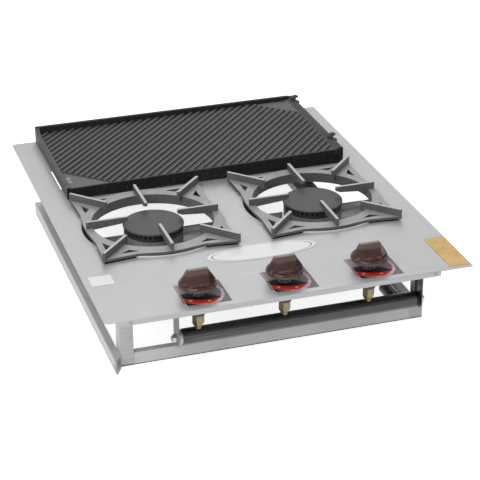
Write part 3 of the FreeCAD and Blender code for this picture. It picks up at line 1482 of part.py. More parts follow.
os.makedirs("parts", exist_ok=True)
for item in parts:
    item.Shape.exportStep("parts/" + item.Label + ".step")
print("sub-parts", len(parts), "solids", sum(len(item.Shape.Solids) for item in parts))
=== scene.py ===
"""Looks of the built in side burner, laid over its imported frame.

A drop-in hob: a pale steel top plate carries two iron grates over ring
burners and a ribbed griddle behind them. Three brass taps on a black gas
manifold stand along the front, with brown knobs over printed dials, and a
welded bar frame stands under the plate. All sizes are in metres.
"""

import logging
import math
from dataclasses import dataclass, field
from enum import Enum
from itertools import product
from typing import Callable, Iterable, Mapping, Sequence

import bmesh
import bpy
from mathutils import Matrix, Quaternion, Vector


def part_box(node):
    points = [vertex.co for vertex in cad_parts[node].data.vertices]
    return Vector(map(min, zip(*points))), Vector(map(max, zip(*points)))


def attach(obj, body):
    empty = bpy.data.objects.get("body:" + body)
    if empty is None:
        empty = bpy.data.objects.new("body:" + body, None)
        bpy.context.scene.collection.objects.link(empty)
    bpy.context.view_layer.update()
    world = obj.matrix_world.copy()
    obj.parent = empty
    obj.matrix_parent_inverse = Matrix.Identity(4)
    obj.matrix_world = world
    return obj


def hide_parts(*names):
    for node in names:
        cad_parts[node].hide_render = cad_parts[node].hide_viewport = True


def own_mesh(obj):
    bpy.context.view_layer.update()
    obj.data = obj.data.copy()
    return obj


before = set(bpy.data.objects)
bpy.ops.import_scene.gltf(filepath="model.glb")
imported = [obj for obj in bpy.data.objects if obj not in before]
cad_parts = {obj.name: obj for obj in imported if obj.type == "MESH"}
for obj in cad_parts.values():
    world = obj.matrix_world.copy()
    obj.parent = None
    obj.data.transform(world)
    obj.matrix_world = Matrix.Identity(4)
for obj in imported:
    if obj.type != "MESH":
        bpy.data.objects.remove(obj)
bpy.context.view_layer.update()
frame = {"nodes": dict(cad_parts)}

Triple = tuple[float, float, float]
Tone = tuple[float, float, float]
Point = tuple[float, float]
Object = bpy.types.Object

LOG = logging.getLogger("side_burner")
MM = 0.001
# Points nearer than this are one point, in a new mesh and in a CAD node's
TOUCH = 0.01 * MM
CAD_TOUCH = 0.02 * MM
PLATE_TOP = 0.115
ENDS = ("front", "back")
SIDES = ("left", "right")
TAPS = ("left", "middle", "right")
TAP_X = {"left": -0.1415, "middle": 0.0, "right": 0.1415}
TAP_Y = -0.3205
BURNER_X = {"left": -0.140, "right": 0.144}
BURNER_Y = -0.0535
GRATE_Y = -0.0515
KNOB_BASE = 0.131


class Axis(Enum):
    """The direction that a brushed grain follows."""

    X = 0
    Y = 1


class Value:
    """A shader socket that Python sums can be written with."""

    def __init__(self, shader: "Shader", socket: bpy.types.NodeSocket) -> None:
        """Keeps the shader that new sums are added to, and the socket."""
        self.shader = shader
        self.socket = socket

    def _sum(self, operation: str, first: object, second: object) -> "Value":
        """Adds one Math node, which works on two Values or numbers."""
        node = self.shader.node("ShaderNodeMath", {"operation": operation}, {0: first, 1: second})
        return Value(self.shader, node.outputs[0])

    def __add__(self, other: object) -> "Value":
        """Sum of both."""
        return self._sum("ADD", self, other)

    def __radd__(self, other: object) -> "Value":
        """Sum, where the number stands first."""
        return self._sum("ADD", other, self)

    def __sub__(self, other: object) -> "Value":
        """Difference of both."""
        return self._sum("SUBTRACT", self, other)

    def __rsub__(self, other: object) -> "Value":
        """Difference, where the number stands first."""
        return self._sum("SUBTRACT", other, self)

    def __mul__(self, other: object) -> "Value":
        """Product of both."""
        return self._sum("MULTIPLY", self, other)

    def __rmul__(self, other: object) -> "Value":
        """Product, where the number stands first."""
        return self._sum("MULTIPLY", other, self)

    def __truediv__(self, other: object) -> "Value":
        """Ratio of both."""
        return self._sum("DIVIDE", self, other)

    def __rtruediv__(self, other: object) -> "Value":
        """Ratio, where the number stands first."""
        return self._sum("DIVIDE", other, self)

    def size(self) -> "Value":
        """The number without its sign."""
        return self._sum("ABSOLUTE", self, 0.0)

    def most(self, other: object) -> "Value":
        """The greater of both."""
        return self._sum("MAXIMUM", self, other)

    def least(self, other: object) -> "Value":
        """The smaller of both."""
        return self._sum("MINIMUM", self, other)

    def power(self, other: object) -> "Value":
        """This, raised to a power."""
        return self._sum("POWER", self, other)

    def wrap(self) -> "Value":
        """The part after the point, from 0 up to 1."""
        return self._sum("FRACT", self, 0.0)

    def band(self, low: float, high: float, soft: float) -> "Value":
        """1 between low and high, with soft ends."""
        return self.fade(low - soft, low + soft) * self.fade(high + soft, high - soft)

    def fade(self, start: float, end: float) -> "Value":
        """0 before start, 1 after end, and smooth between them.

        Args:
            start: Where the rise begins.
            end: Where it is whole; below start, the fade runs the other way.

        Returns:
            The faded mask.
        """
        low, high, a, b = (start, end, 0.0, 1.0) if end > start else (end, start, 1.0, 0.0)
        node = self.shader.node(
            "ShaderNodeMapRange",
            {"interpolation_type": "SMOOTHSTEP"},
            {"Value": self, "From Min": low, "From Max": high, "To Min": a, "To Max": b},
        )
        return Value(self.shader, node.outputs[0])


class Shader:
    """The node tree of one material, or of the world."""

    def __init__(self, name: str, world: bool = False) -> None:
        """Makes an empty material or world.

        Args:
            name: Its name.
            world: Whether it is a world.
        """
        self.home = (bpy.data.worlds if world else bpy.data.materials).new(name)
        self.home.use_nodes = True
        self.tree = self.home.node_tree
        self.tree.nodes.clear()
        self.output = self.node("ShaderNodeOutputWorld" if world else "ShaderNodeOutputMaterial")

    def node(
        self,
        kind: str,
        settings: Mapping[str, object] | None = None,
        sockets: Mapping[object, object] | None = None,
    ) -> bpy.types.Node:
        """Adds one node, sets it and then fills its sockets.

        Args:
            kind: The node's type.
            settings: Its own settings.
            sockets: A value or a Value for each socket, by name, identifier or number.

        Returns:
            The new node.
        """
        node = self.tree.nodes.new(kind)
        for key, value in (settings or {}).items():
            setattr(node, key, value)
        for key, value in (sockets or {}).items():
            self._feed(self._socket(node, key), value)
        return node

    @staticmethod
    def _socket(node: bpy.types.Node, key: object) -> bpy.types.NodeSocket:
        """The input of a node that a key stands for.

        Args:
            node: The node.
            key: The input's number, identifier or name.

        Returns:
            The input.
        """
        if isinstance(key, int):
            return node.inputs[key]
        known = [s for s in node.inputs if s.identifier == key]
        return (known or [s for s in node.inputs if s.name == key])[0]

    def _feed(self, socket: bpy.types.NodeSocket, value: object) -> None:
        """Fills a socket.

        Args:
            socket: The input.
            value: A Value or an output to link, or a plain value to set.
        """
        if isinstance(value, Value):
            self.tree.links.new(value.socket, socket)
        elif isinstance(value, bpy.types.NodeSocket):
            self.tree.links.new(value, socket)
        elif isinstance(value, tuple) and socket.type == "RGBA":
            socket.default_value = (*value, 1.0)
        else:
            socket.default_value = value

    def place(self, shift: Triple = (0, 0, 0), stretch: Triple = (1, 1, 1), turn: float = 0.0) -> Value:
        """Object coordinates, moved, turned about Z and stretched.

        Args:
            shift: The point that becomes the middle of the pattern.
            stretch: How much finer the pattern is along each axis.
            turn: The angle about Z, in degrees.

        Returns:
            The vector.
        """
        spot = self.node("ShaderNodeTexCoord").outputs["Object"]
        moved = self.node(
            "ShaderNodeVectorMath", {"operation": "SUBTRACT"}, {0: spot, 1: shift}
        ).outputs[0]
        mapped = self.node(
            "ShaderNodeMapping",
            {},
            {"Vector": moved, "Rotation": (0, 0, math.radians(turn)), "Scale": stretch},
        )
        return Value(self, mapped.outputs[0])

    def axes(self, vector: Value) -> tuple[Value, Value, Value]:
        """The three numbers of a vector."""
        parts = self.node("ShaderNodeSeparateXYZ", {}, {0: vector}).outputs
        return Value(self, parts[0]), Value(self, parts[1]), Value(self, parts[2])

    def height(self) -> Value:
        """Height above the floor."""
        return self.axes(self.place())[2]

    def around(self, x: float, y: float) -> tuple[Value, Value]:
        """Distances along X and along Y from an upright axis, with their signs."""
        across, deep, _ = self.axes(self.place((x, y, 0.0)))
        return across, deep

    def uprightness(self) -> Value:
        """How far a face looks up: 1 on a level top, 0 on a wall, below 0 underneath."""
        turned = self.node("ShaderNodeTexCoord").outputs["Normal"]
        return self.axes(Value(self, turned))[2]

    @staticmethod
    def reach(x: Value, y: Value) -> Value:
        """Distance from the middle of a flat pattern."""
        return (x * x + y * y).power(0.5)

    def noise(
        self, scale: float, detail: float = 3.0, stretch: Triple = (1, 1, 1), rough: float = 0.5
    ) -> Value:
        """Soft random clouds over the object.

        Args:
            scale: Clouds to the metre.
            detail: How many finer layers lie on them.
            stretch: How much finer they are along each axis.
            rough: How strong the finer layers are.

        Returns:
            A value near 0.5, from about 0.2 to 0.8.
        """
        node = self.node(
            "ShaderNodeTexNoise",
            {},
            {
                "Vector": self.place(stretch=stretch),
                "Scale": scale,
                "Detail": detail,
                "Roughness": rough,
            },
        )
        return Value(self, node.outputs[0])

    def grains(self, scale: float) -> Value:
        """Distance to the nearest of many scattered grains."""
        node = self.node("ShaderNodeTexVoronoi", {}, {"Vector": self.place(), "Scale": scale})
        return Value(self, node.outputs["Distance"])

    def blend(self, share: object, under: object, over: object) -> Value:
        """Mixes two colours.

        Args:
            share: How much of the upper colour shows.
            under: The lower colour.
            over: The upper colour.

        Returns:
            The mixed colour.
        """
        node = self.node(
            "ShaderNodeMix",
            {"data_type": "RGBA", "clamp_factor": True},
            {"Factor_Float": share, "A_Color": under, "B_Color": over},
        )
        colour = next(output for output in node.outputs if output.identifier == "Result_Color")
        return Value(self, colour)

    def bump(self, height: Value, strength: float, depth: float) -> Value:
        """Raises the surface by a value.

        Args:
            height: The relief, from 0 to 1.
            strength: How much of it shows.
            depth: The relief's height in metres.

        Returns:
            The normal.
        """
        node = self.node(
            "ShaderNodeBump", {}, {"Strength": strength, "Distance": depth, "Height": height}
        )
        return Value(self, node.outputs[0])

    def surface(self, **sockets: object) -> bpy.types.Material:
        """Closes the material with one principled surface.

        Args:
            **sockets: Its sockets, with their names' spaces as underscores.

        Returns:
            The finished material.
        """
        named = {key.replace("_", " "): value for key, value in sockets.items()}
        self.close(self.node("ShaderNodeBsdfPrincipled", {}, named))
        return self.home

    def close(self, last: bpy.types.Node) -> None:
        """Leads the last node to the output."""
        self._feed(self.output.inputs[0], last.outputs[0])

    def rays(self, *kinds: str) -> Value:
        """Tells light paths apart.

        Args:
            *kinds: Outputs of the Light Path node.

        Returns:
            1 on paths of any of these kinds, 0 on the others.
        """
        paths = self.node("ShaderNodeLightPath").outputs
        mask = Value(self, paths[kinds[0]])
        for kind in kinds[1:]:
            mask = mask.most(Value(self, paths[kind]))
        return mask


@dataclass(frozen=True)
class Finish:
    """A finish that any piece can be given."""

    name: str

    def material(self) -> bpy.types.Material:
        """The finish's material, made when it is first asked for."""
        return bpy.data.materials.get(self.name) or self.make(Shader(self.name))

    def make(self, shader: Shader) -> bpy.types.Material:
        """Builds the material on an empty shader."""
        raise NotImplementedError(self.name)


@dataclass(frozen=True)
class BrushedSheet(Finish):
    """Satin rolled steel: a fine grain one way, soft clouds and stray scratches."""

    pale: Tone = (0.55, 0.555, 0.565)
    dull: Tone = (0.48, 0.485, 0.495)
    roughness: float = 0.50
    along: Axis = Axis.X
    scored: Tone = (0.74, 0.75, 0.76)
    grain: float = 0.06
    metallic: float = 0.45

    def make(self, shader: Shader) -> bpy.types.Material:
        """Builds the material.

        Args:
            shader: An empty shader.

        Returns:
            The finished material.
        """
        stretch = tuple(5.0 if i == self.along.value else 620.0 for i in range(3))
        brush = shader.noise(1.0, 3.0, stretch, 0.6)
        clouds = shader.noise(6.0, 5.0)
        marks = shader.noise(55.0, 4.0, (1.0, 2.2, 1.0))
        scratch = shader.noise(1.0, 1.0, (14.0, 330.0, 330.0), 0.4).fade(0.69, 0.73)
        share = clouds * 1.2 + (brush - 0.5) * 0.9 + (marks - 0.5) * 0.3 - 0.1
        tone = shader.blend(share, self.dull, self.pale)
        tone = self.add_painted_light(shader, shader.blend(scratch * 0.22, tone, self.scored), marks)
        rough = self.roughness + (clouds - 0.5) * 0.18 + (marks - 0.5) * 0.12 + (brush - 0.5) * 0.1
        return shader.surface(
            Base_Color=tone,
            Metallic=self.metallic,
            Roughness=rough - scratch * 0.12,
            Normal=shader.bump(brush + marks * 0.3, self.grain, 0.0004),
        )

    def add_painted_light(self, shader: Shader, tone: Value, marks: Value) -> Value:
        """The colour with any painted light added; a plain sheet's stays as it is."""
        return tone


@dataclass(frozen=True)
class HobSheet(BrushedSheet):
    """The top plate's steel, with a painted highlight on the raised rims of its wells and painted shade
    under the grates, inside the rims and down the wells.
    """

    # Painted highlight along each rim's outer slope, then painted shade under the grates, inside the rims
    # and down the wells
    rim_highlight: Tone = (0.93, 0.93, 0.935)
    painted_shade: Tone = (0.012, 0.012, 0.014)
    # Where a mask begins and where it is whole, as distances and heights
    rim_slope: Point = (0.1250, 0.1276)
    rim_inside: Point = (0.1253, 0.1247)
    slope_clear: Point = (0.104, 0.088)
    inside_clear: Point = (0.104, 0.092)
    well_wall: Point = (0.1199, 0.1187)
    upper_face: Point = (0.1141, 0.1146)
    shade_edge: Point = (0.0, 0.001)
    shade_inner: Point = (0.005, 0.016)
    # A grate's outline: how far its sides lie out, at their waist and at their corners
    grate_flank: Triple = (0.1152, 0.0045, 0.0025)
    grate_end: Triple = (0.1242, 0.0080, 0.0060)
    grate_half: Point = (0.114, 0.123)
    grate_waist: Point = (0.014, 0.058)

    def add_painted_light(self, shader: Shader, tone: Value, marks: Value) -> Value:
        """Adds the painted highlight on the rims and the painted shade under the grates and in the wells.

        Args:
            shader: The plate's shader.
            tone: The clean sheet's colour.
            marks: The pattern that thins the painted shade away from a grate's edge.

        Returns:
            The colour with painted light and shade.
        """
        rims = [self._rim_highlight_mask(shader, BURNER_X[side]) for side in SIDES]
        shadows = [self._shadow_mask(shader, BURNER_X[side], marks) for side in SIDES]
        # Painted highlight on the rims' outer slopes, then painted shade laid over it
        tone = shader.blend(rims[0].most(rims[1]) * 0.85, tone, self.rim_highlight)
        return shader.blend(shadows[0].most(shadows[1]) * 0.97, tone, self.painted_shade)

    def _rim_highlight_mask(self, shader: Shader, centre: float) -> Value:
        """The raised rim of one well, with a painted highlight along its outer slope.

        Args:
            shader: The plate's shader.
            centre: The well's middle along X.

        Returns:
            The mask.
        """
        across, deep = shader.around(centre, BURNER_Y)
        slope = shader.reach(across, deep).band(*self.rim_slope, 0.0006)
        return slope * across.size().fade(*self.slope_clear)

    def _shadow_mask(self, shader: Shader, centre: float, marks: Value) -> Value:
        """The painted shade of one well: beneath its grate, inside its rim and down its wall.

        Args:
            shader: The plate's shader.
            centre: The well's middle along X.
            marks: The pattern that thins the painted shade away from the grate's edge.

        Returns:
            The mask.
        """
        top = shader.height().fade(*self.upper_face)
        x, y = (distance.size() for distance in shader.around(centre, GRATE_Y))
        beside = self._outline(y, self.grate_flank, self.grate_half[1]) - x
        before = self._outline(x, self.grate_end, self.grate_half[0]) - y
        inner = beside.fade(*self.shade_inner) * before.fade(*self.shade_inner)
        under = beside.fade(*self.shade_edge) * before.fade(*self.shade_edge)
        under = under * (1.0 - inner * (0.06 + marks * 0.22)) * top
        across, deep = shader.around(centre, BURNER_Y)
        away = shader.reach(across, deep)
        shaded = away.fade(*self.rim_inside) * across.size().fade(*self.inside_clear) * top
        # Painted shadow beneath the grate, painted shade inside the rim and down the well's wall
        return under.most(away.fade(*self.well_wall)).most(shaded)

    def _outline(self, along: Value, side: Triple, half: float) -> Value:
        """How far out a grate's side lies: drawn in at its waist, wider at its corners."""
        middle, waist, flare = side
        return along.fade(self.grate_waist[1], half) * flare - along.fade(*self.grate_waist) * waist + middle


@dataclass(frozen=True)
class WeldedBar(Finish):
    """Mill-finish bar: mill lines, dull patches, painted contact shadow along its lower edge and one heat
    stain.
    """

    pale: Tone = (0.56, 0.565, 0.58)
    dull: Tone = (0.38, 0.385, 0.40)
    roughness: float = 0.46
    stain_at: Triple = (0.0, 0.0, 0.0)
    stain_reach: float = 0.0
    # Height under which the bar is darkened, a painted contact shadow where it meets the floor
    foot: float = 0.0
    foot_shadow: Tone = (0.09, 0.09, 0.095)
    stain: Tone = (0.16, 0.12, 0.09)

    def make(self, shader: Shader) -> bpy.types.Material:
        """Builds the material.

        Args:
            shader: An empty shader.

        Returns:
            The finished material.
        """
        clouds = shader.noise(13.0, 5.0)
        rolled = shader.noise(1.0, 3.0, (7.0, 7.0, 230.0), 0.6)
        specks = shader.noise(260.0, 3.0)
        share = clouds * 1.2 + (rolled - 0.5) * 0.9 + (specks - 0.5) * 0.25 - 0.1
        tone = shader.blend(share, self.dull, self.pale)
        # Painted contact shadow along the bottom
        if self.foot:
            low = (shader.height() + (clouds - 0.5) * 0.002).fade(self.foot, self.foot * 0.5)
            tone = shader.blend(low * 0.8, tone, self.foot_shadow)
        if self.stain_reach:
            x, y, z = shader.axes(shader.place(self.stain_at))
            away = (x * x + y * y + z * z).power(0.5) + (clouds - 0.5) * 0.02
            heat = away.fade(self.stain_reach, self.stain_reach * 0.35)
            tone = shader.blend(heat * 0.7, tone, self.stain)
        return shader.surface(
            Base_Color=tone,
            Metallic=0.2,
            Roughness=self.roughness + (clouds - 0.5) * 0.2 + (specks - 0.5) * 0.12,
            Normal=shader.bump(rolled + specks * 0.4, 0.14, 0.0004),
        )


@dataclass(frozen=True)
class CastIron(Finish):
    """Sand-cast iron: a pitted skin with cloudy tone, a painted highlight with some wear along its crests,
    and painted shade on its walls, under its outer edges and above a set height.
    """

    pale: Tone = (0.27, 0.275, 0.285)
    dull: Tone = (0.17, 0.175, 0.185)
    # Tone of the crests: a painted highlight, with some wear
    worn: Tone = (0.42, 0.425, 0.435)
    roughness: float = 0.5
    metallic: float = 0.15
    skin: float = 0.3
    pits: float = 900.0
    gloss: float = 0.25
    crest: float = 0.0
    root: float = 0.0
    root_depth: float = 0.0046
    outer_x: Point = (0.1082, 0.1092)
    outer_y: Point = (0.1145, 0.1155)
    # Painted shade on the walls, and how much of it shows
    shaded_flank: Tone = (0.0, 0.0, 0.0)
    shaded_flank_share: float = 0.0
    # Height above which the iron is painted black: painted shade in the gap under a burner cap
    shaded_above: float = 0.0
    painted_shade: Tone = (0.008, 0.008, 0.009)

    def make(self, shader: Shader) -> bpy.types.Material:
        """Builds the material.

        Args:
            shader: An empty shader.

        Returns:
            The finished material.
        """
        clouds = shader.noise(24.0, 5.0, rough=0.6)
        sand = shader.noise(self.pits, 3.0)
        mottle = shader.noise(300.0, 3.0, rough=0.7)
        grain = shader.grains(self.pits * 0.55)
        share = (clouds - 0.5) * 1.6 + 0.5 + (sand - 0.5) * 0.7 + (mottle - 0.5) * 1.5
        tone = shader.blend(share, self.dull, self.pale)
        height = shader.height()
        # Painted highlight on the crests, with some wear
        if self.crest:
            lit_top = (height + (clouds - 0.5) * 0.001).fade(self.crest - 0.0006, self.crest + 0.0002)
            tone = shader.blend(lit_top * (sand * 0.6 + 0.45), tone, self.worn)
        # Painted shadow under the grates' outer bottom edges
        if self.root:
            rough = height + (clouds - 0.5) * 0.0008
            shade = rough.band(self.root - self.root_depth, self.root, 0.0004)
            edge_shadow = tuple(c * 0.07 for c in self.dull)
            tone = shader.blend(shade * self._outer(shader) * 0.92, tone, edge_shadow)
        # Painted shade on the walls
        if self.shaded_flank_share:
            wall = shader.uprightness().fade(0.75, 0.30)
            wall_shade = wall * (clouds * 0.5 + mottle * 0.9 + 0.3)
            tone = shader.blend(wall_shade * self.shaded_flank_share, tone, self.shaded_flank)
        # Painted shade above a set height, in the gap under the cap
        if self.shaded_above:
            above = (height - self.shaded_above + (clouds - 0.5) * 0.0006).fade(-0.0004, 0.0004)
            tone = shader.blend(above * 0.92, tone, self.painted_shade)
        return shader.surface(
            Base_Color=tone,
            Metallic=self.metallic,
            Roughness=self.roughness + (clouds - 0.5) * 0.25 + (sand - 0.5) * 0.15,
            Specular_IOR_Level=self.gloss,
            Normal=shader.bump(sand + grain * 0.6, self.skin, 0.0006),
        )

    def _outer(self, shader: Shader) -> Value:
        """The outer edges of both grates.

        Args:
            shader: The grates' shader.

        Returns:
            The mask, 0 within each grate.
        """
        masks = []
        for side in SIDES:
            x, y = shader.around(BURNER_X[side], GRATE_Y)
            masks.append(x.size().fade(*self.outer_x).most(y.size().fade(*self.outer_y)))
        return masks[0].least(masks[1])


@dataclass(frozen=True)
class RibbedIron(Finish):
    """Griddle iron: dark walls and greyer rib tops, with painted shade in the grooves and on the front and
    back walls, painted light on the left wall and a painted highlight line along each rib.
    """

    rib: Tone = (0.078, 0.080, 0.086)
    # The groove tone is painted shade, the crest tone a painted highlight, the left-wall tone painted light,
    # and the back- and front-wall tones painted shade
    shaded_groove: Tone = (0.042, 0.043, 0.048)
    crest: Tone = (0.42, 0.425, 0.435)
    wall: Tone = (0.052, 0.053, 0.057)
    lit_left_wall: Tone = (0.12, 0.122, 0.128)
    shaded_back_wall: Tone = (0.022, 0.022, 0.025)
    front: Tone = (0.014, 0.014, 0.016)
    smooth_dull: Tone = (0.13, 0.132, 0.136)
    smooth_pale: Tone = (0.20, 0.202, 0.207)
    slot_wall: Tone = (0.80, 0.80, 0.80)
    speck_pale: Tone = (0.24, 0.24, 0.25)
    speck_dark: Tone = (0.010, 0.010, 0.011)
    # The ribs' middle, distance and slant, then where a mask begins and where it is whole
    middle: Triple = (0.0, 0.22775, 0.0)
    pitch: float = 0.01216
    angle: float = 137.4
    front_y: float = 0.0925
    back_y: Point = (0.3588, 0.3578)
    left_x: Point = (-0.2474, -0.2462)
    right_x: Point = (0.2420, 0.2395)
    left_face: Point = (-0.2464, -0.2476)
    back_face: Point = (0.3580, 0.3592)
    wall_foot: Point = (0.1445, 0.1425)
    near_corner: Point = (-0.0775, -0.0790)
    far_corner: Point = (0.5310, 0.5325)
    slot_x: Point = (-0.2472, -0.2388)
    slot_z: Point = (0.1255, 0.1330)
    slot_y: float = 0.131
    slot_apart: float = 0.007
    slot_half: Point = (0.0054, 0.0050)

    def make(self, shader: Shader) -> bpy.types.Material:
        """Builds the material.

        Args:
            shader: An empty shader.

        Returns:
            The finished material.
        """
        clouds = shader.noise(18.0, 5.0, rough=0.6)
        sand = shader.noise(1000.0, 3.0)
        grain = shader.grains(520.0)
        x, y, z = shader.axes(shader.place())
        inner = y.fade(self.front_y + 0.001, self.front_y + 0.003)
        inner = inner * y.fade(*self.back_y) * x.fade(*self.left_x) * x.fade(*self.right_x)
        floor = inner * z.fade(*self.wall_foot) * shader.uprightness().fade(-0.8, -0.5)
        iron = shader.blend((clouds - 0.5) * 1.6 + 0.5 + (sand - 0.5) * 0.7, self.wall, self.rib)
        # Painted light on the left wall, painted shade on the back and front walls
        iron = shader.blend(x.fade(*self.left_face) * 0.8, iron, self.lit_left_wall)
        iron = shader.blend(y.fade(*self.back_face), iron, self.shaded_back_wall)
        iron = shader.blend(y.fade(self.front_y, self.front_y - 0.002), iron, self.front)
        tone = shader.blend(floor * 0.92, iron, self._ribs(shader, clouds))
        corner = (x + y).fade(*self.near_corner).most((x + y).fade(*self.far_corner)) * floor
        smooth = shader.blend((clouds - 0.5) * 1.5 + 0.5, self.smooth_dull, self.smooth_pale)
        tone = shader.blend(corner, tone, smooth)
        slot = x.band(*self.slot_x, 0.0002) * z.band(*self.slot_z, 0.0004)
        slot = slot * ((y - self.slot_y).size() - self.slot_apart).size().fade(*self.slot_half)
        tone = shader.blend(slot * 0.9, tone, self.slot_wall)
        mottle = shader.noise(260.0, 3.0, rough=0.7)
        tone = shader.blend(mottle.fade(0.56, 0.72) * 0.30, tone, self.speck_pale)
        tone = shader.blend(mottle.fade(0.44, 0.30) * 0.35, tone, self.speck_dark)
        return shader.surface(
            Base_Color=tone,
            Roughness=0.54 + (clouds - 0.5) * 0.3 + (sand - 0.5) * 0.2,
            Specular_IOR_Level=0.2,
            Normal=shader.bump(sand + grain * 0.6, 0.35, 0.0006),
        )

    def _ribs(self, shader: Shader, clouds: Value) -> Value:
        """The ribbed floor's colour: painted shade in the grooves, greyer tops and a painted highlight line
        along each top.

        Args:
            shader: The griddle's shader.
            clouds: The pattern that breaks up the painted highlight lines.

        Returns:
            The colour.
        """
        across, _, _ = shader.axes(shader.place(self.middle, turn=-self.angle))
        phase = (across / self.pitch).wrap()
        tone = shader.blend((phase - 0.5).size().fade(0.27, 0.17), self.shaded_groove, self.rib)
        # Painted highlight along the front edge of each rib top
        line = (phase - 0.335).size().fade(0.060, 0.014)
        return shader.blend(line * (clouds * 0.8 + 0.4), tone, self.crest)


@dataclass(frozen=True)
class SatinPaint(Finish):
    """Black paint with a wet sheen, dust and fine drawn scratches; it can carry a painted highlight line at
    a set place and a painted dark reflection over its top, with a painted highlight line just below it.
    """

    pale: Tone = (0.085, 0.086, 0.092)
    dull: Tone = (0.030, 0.030, 0.033)
    roughness: float = 0.30
    scratch: Tone = (0.20, 0.20, 0.21)
    # A painted highlight line along X = seam_x, and its tone
    seam_x: float = 0.0
    seam_highlight: Tone = (0.5, 0.5, 0.5)
    # Height above which the top is painted dark, a painted reflection, with a painted highlight line just
    # below
    crown: float = 0.0
    dark_top_reflection: Tone = (0.006, 0.006, 0.008)

    def make(self, shader: Shader) -> bpy.types.Material:
        """Builds the material.

        Args:
            shader: An empty shader.

        Returns:
            The finished material.
        """
        clouds = shader.noise(16.0, 4.0)
        scores = shader.noise(1.0, 3.0, (9.0, 210.0, 210.0), 0.6)
        lines = scores.fade(0.60, 0.70)
        dents = shader.noise(150.0, 3.0)
        tone = shader.blend(clouds * 0.8 + (scores - 0.5) * 1.2 + 0.1, self.dull, self.pale)
        tone = shader.blend(lines * 0.4, tone, self.scratch)
        # Painted highlight line along an edge
        if self.seam_x:
            x, _ = shader.around(self.seam_x, 0.0)
            tone = shader.blend(x.size().fade(0.0012, 0.0005) * 0.8, tone, self.seam_highlight)
        # Painted dark reflection over the top, with a painted highlight line just below it
        if self.crown:
            above = shader.height() + (scores - 0.5) * 0.003 - self.crown
            tone = shader.blend(above.fade(-0.0004, 0.0004) * 0.95, tone, self.dark_top_reflection)
            crown_highlight = (above + 0.0010).size().fade(0.0010, 0.0002)
            tone = shader.blend(crown_highlight * (scores * 1.4 - 0.2), tone, self.scratch)
        return shader.surface(
            Base_Color=tone,
            Roughness=self.roughness + (clouds - 0.5) * 0.2 + lines * 0.15,
            Coat_Weight=0.3 + (dents - 0.5) * 0.2,
            Normal=shader.bump(dents + scores * 0.5, 0.12, 0.0003),
        )


@dataclass(frozen=True)
class TurnedMetal(Finish):
    """Machined metal with fine tool rings, tarnished in patches."""

    pale: Tone = (0.40, 0.33, 0.21)
    dull: Tone = (0.21, 0.165, 0.10)
    roughness: float = 0.42
    # Above this height the colour turns to a second tone; on the tap bodies that tone is near black
    toned_above: float = 0.0
    upper_tone: Tone = (0.62, 0.60, 0.57)
    painted_beyond: float = 0.0
    paint: Tone = (0.02, 0.02, 0.022)
    metallic: float = 0.85

    def make(self, shader: Shader) -> bpy.types.Material:
        """Builds the material.

        Args:
            shader: An empty shader.

        Returns:
            The finished material.
        """
        rings = shader.noise(1.0, 2.0, (30.0, 30.0, 1500.0), 0.5)
        clouds = shader.noise(110.0, 4.0)
        tone = shader.blend(clouds * 1.5 - 0.25, self.dull, self.pale)
        if self.toned_above:
            share = shader.height().fade(self.toned_above, self.toned_above + 0.0005)
            tone = shader.blend(share, tone, self.upper_tone)
        if self.painted_beyond:
            beyond, _ = shader.around(self.painted_beyond, 0.0)
            tone = shader.blend(beyond.fade(0.0, 0.001), tone, self.paint)
        return shader.surface(
            Base_Color=tone,
            Metallic=self.metallic,
            Roughness=self.roughness + (clouds - 0.5) * 0.25 + (rings - 0.5) * 0.1,
            Normal=shader.bump(rings, 0.12, 0.0003),
        )


@dataclass(frozen=True)
class GlossMoulding(Finish):
    """Brown glossy moulding with flow marks, a painted highlight over the grip's top and painted glints
    round its shoulder.
    """

    pale: Tone = (0.086, 0.037, 0.028)
    dull: Tone = (0.034, 0.013, 0.010)
    # The next two tones are the painted highlight on the grip's top and the painted glints round its
    # shoulder
    lit_top: Tone = (0.150, 0.098, 0.078)
    glow: Tone = (0.26, 0.13, 0.10)
    bloom: Tone = (0.15, 0.115, 0.105)
    # Heights over the knob's foot where a tone begins and where it is whole
    top: Point = (0.0195, 0.0235)
    shoulder: Point = (0.0060, 0.0092)
    skirt: Point = (0.0052, 0.0030)
    roughness: float = 0.24

    def make(self, shader: Shader) -> bpy.types.Material:
        """Builds the material.

        Args:
            shader: An empty shader.

        Returns:
            The finished material.
        """
        flow = shader.noise(42.0, 4.0, (1.0, 1.6, 0.6))
        dust = shader.noise(620.0, 3.0)
        rub = shader.noise(150.0, 3.0)
        height = shader.height() - KNOB_BASE + (flow - 0.5) * 0.003
        tone = shader.blend(flow * 1.5 - 0.25, self.dull, self.pale)
        # Painted highlight on the grip's top, then painted glints round the shoulder
        tone = shader.blend(height.fade(*self.top) * 0.75, tone, self.lit_top)
        glint = height.band(*self.shoulder, 0.0012) * rub.fade(0.48, 0.62)
        tone = shader.blend(glint * 0.75, tone, self.glow)
        tone = shader.blend(height.fade(*self.skirt) * 0.55, tone, self.bloom)
        return shader.surface(
            Base_Color=tone,
            Roughness=self.roughness + (flow - 0.5) * 0.2 + (rub - 0.5) * 0.14,
            Specular_IOR_Level=0.25,
            Coat_Weight=0.25 - (rub - 0.5) * 0.4,
            Normal=shader.bump(flow + dust * 0.12, 0.07, 0.0005),
        )


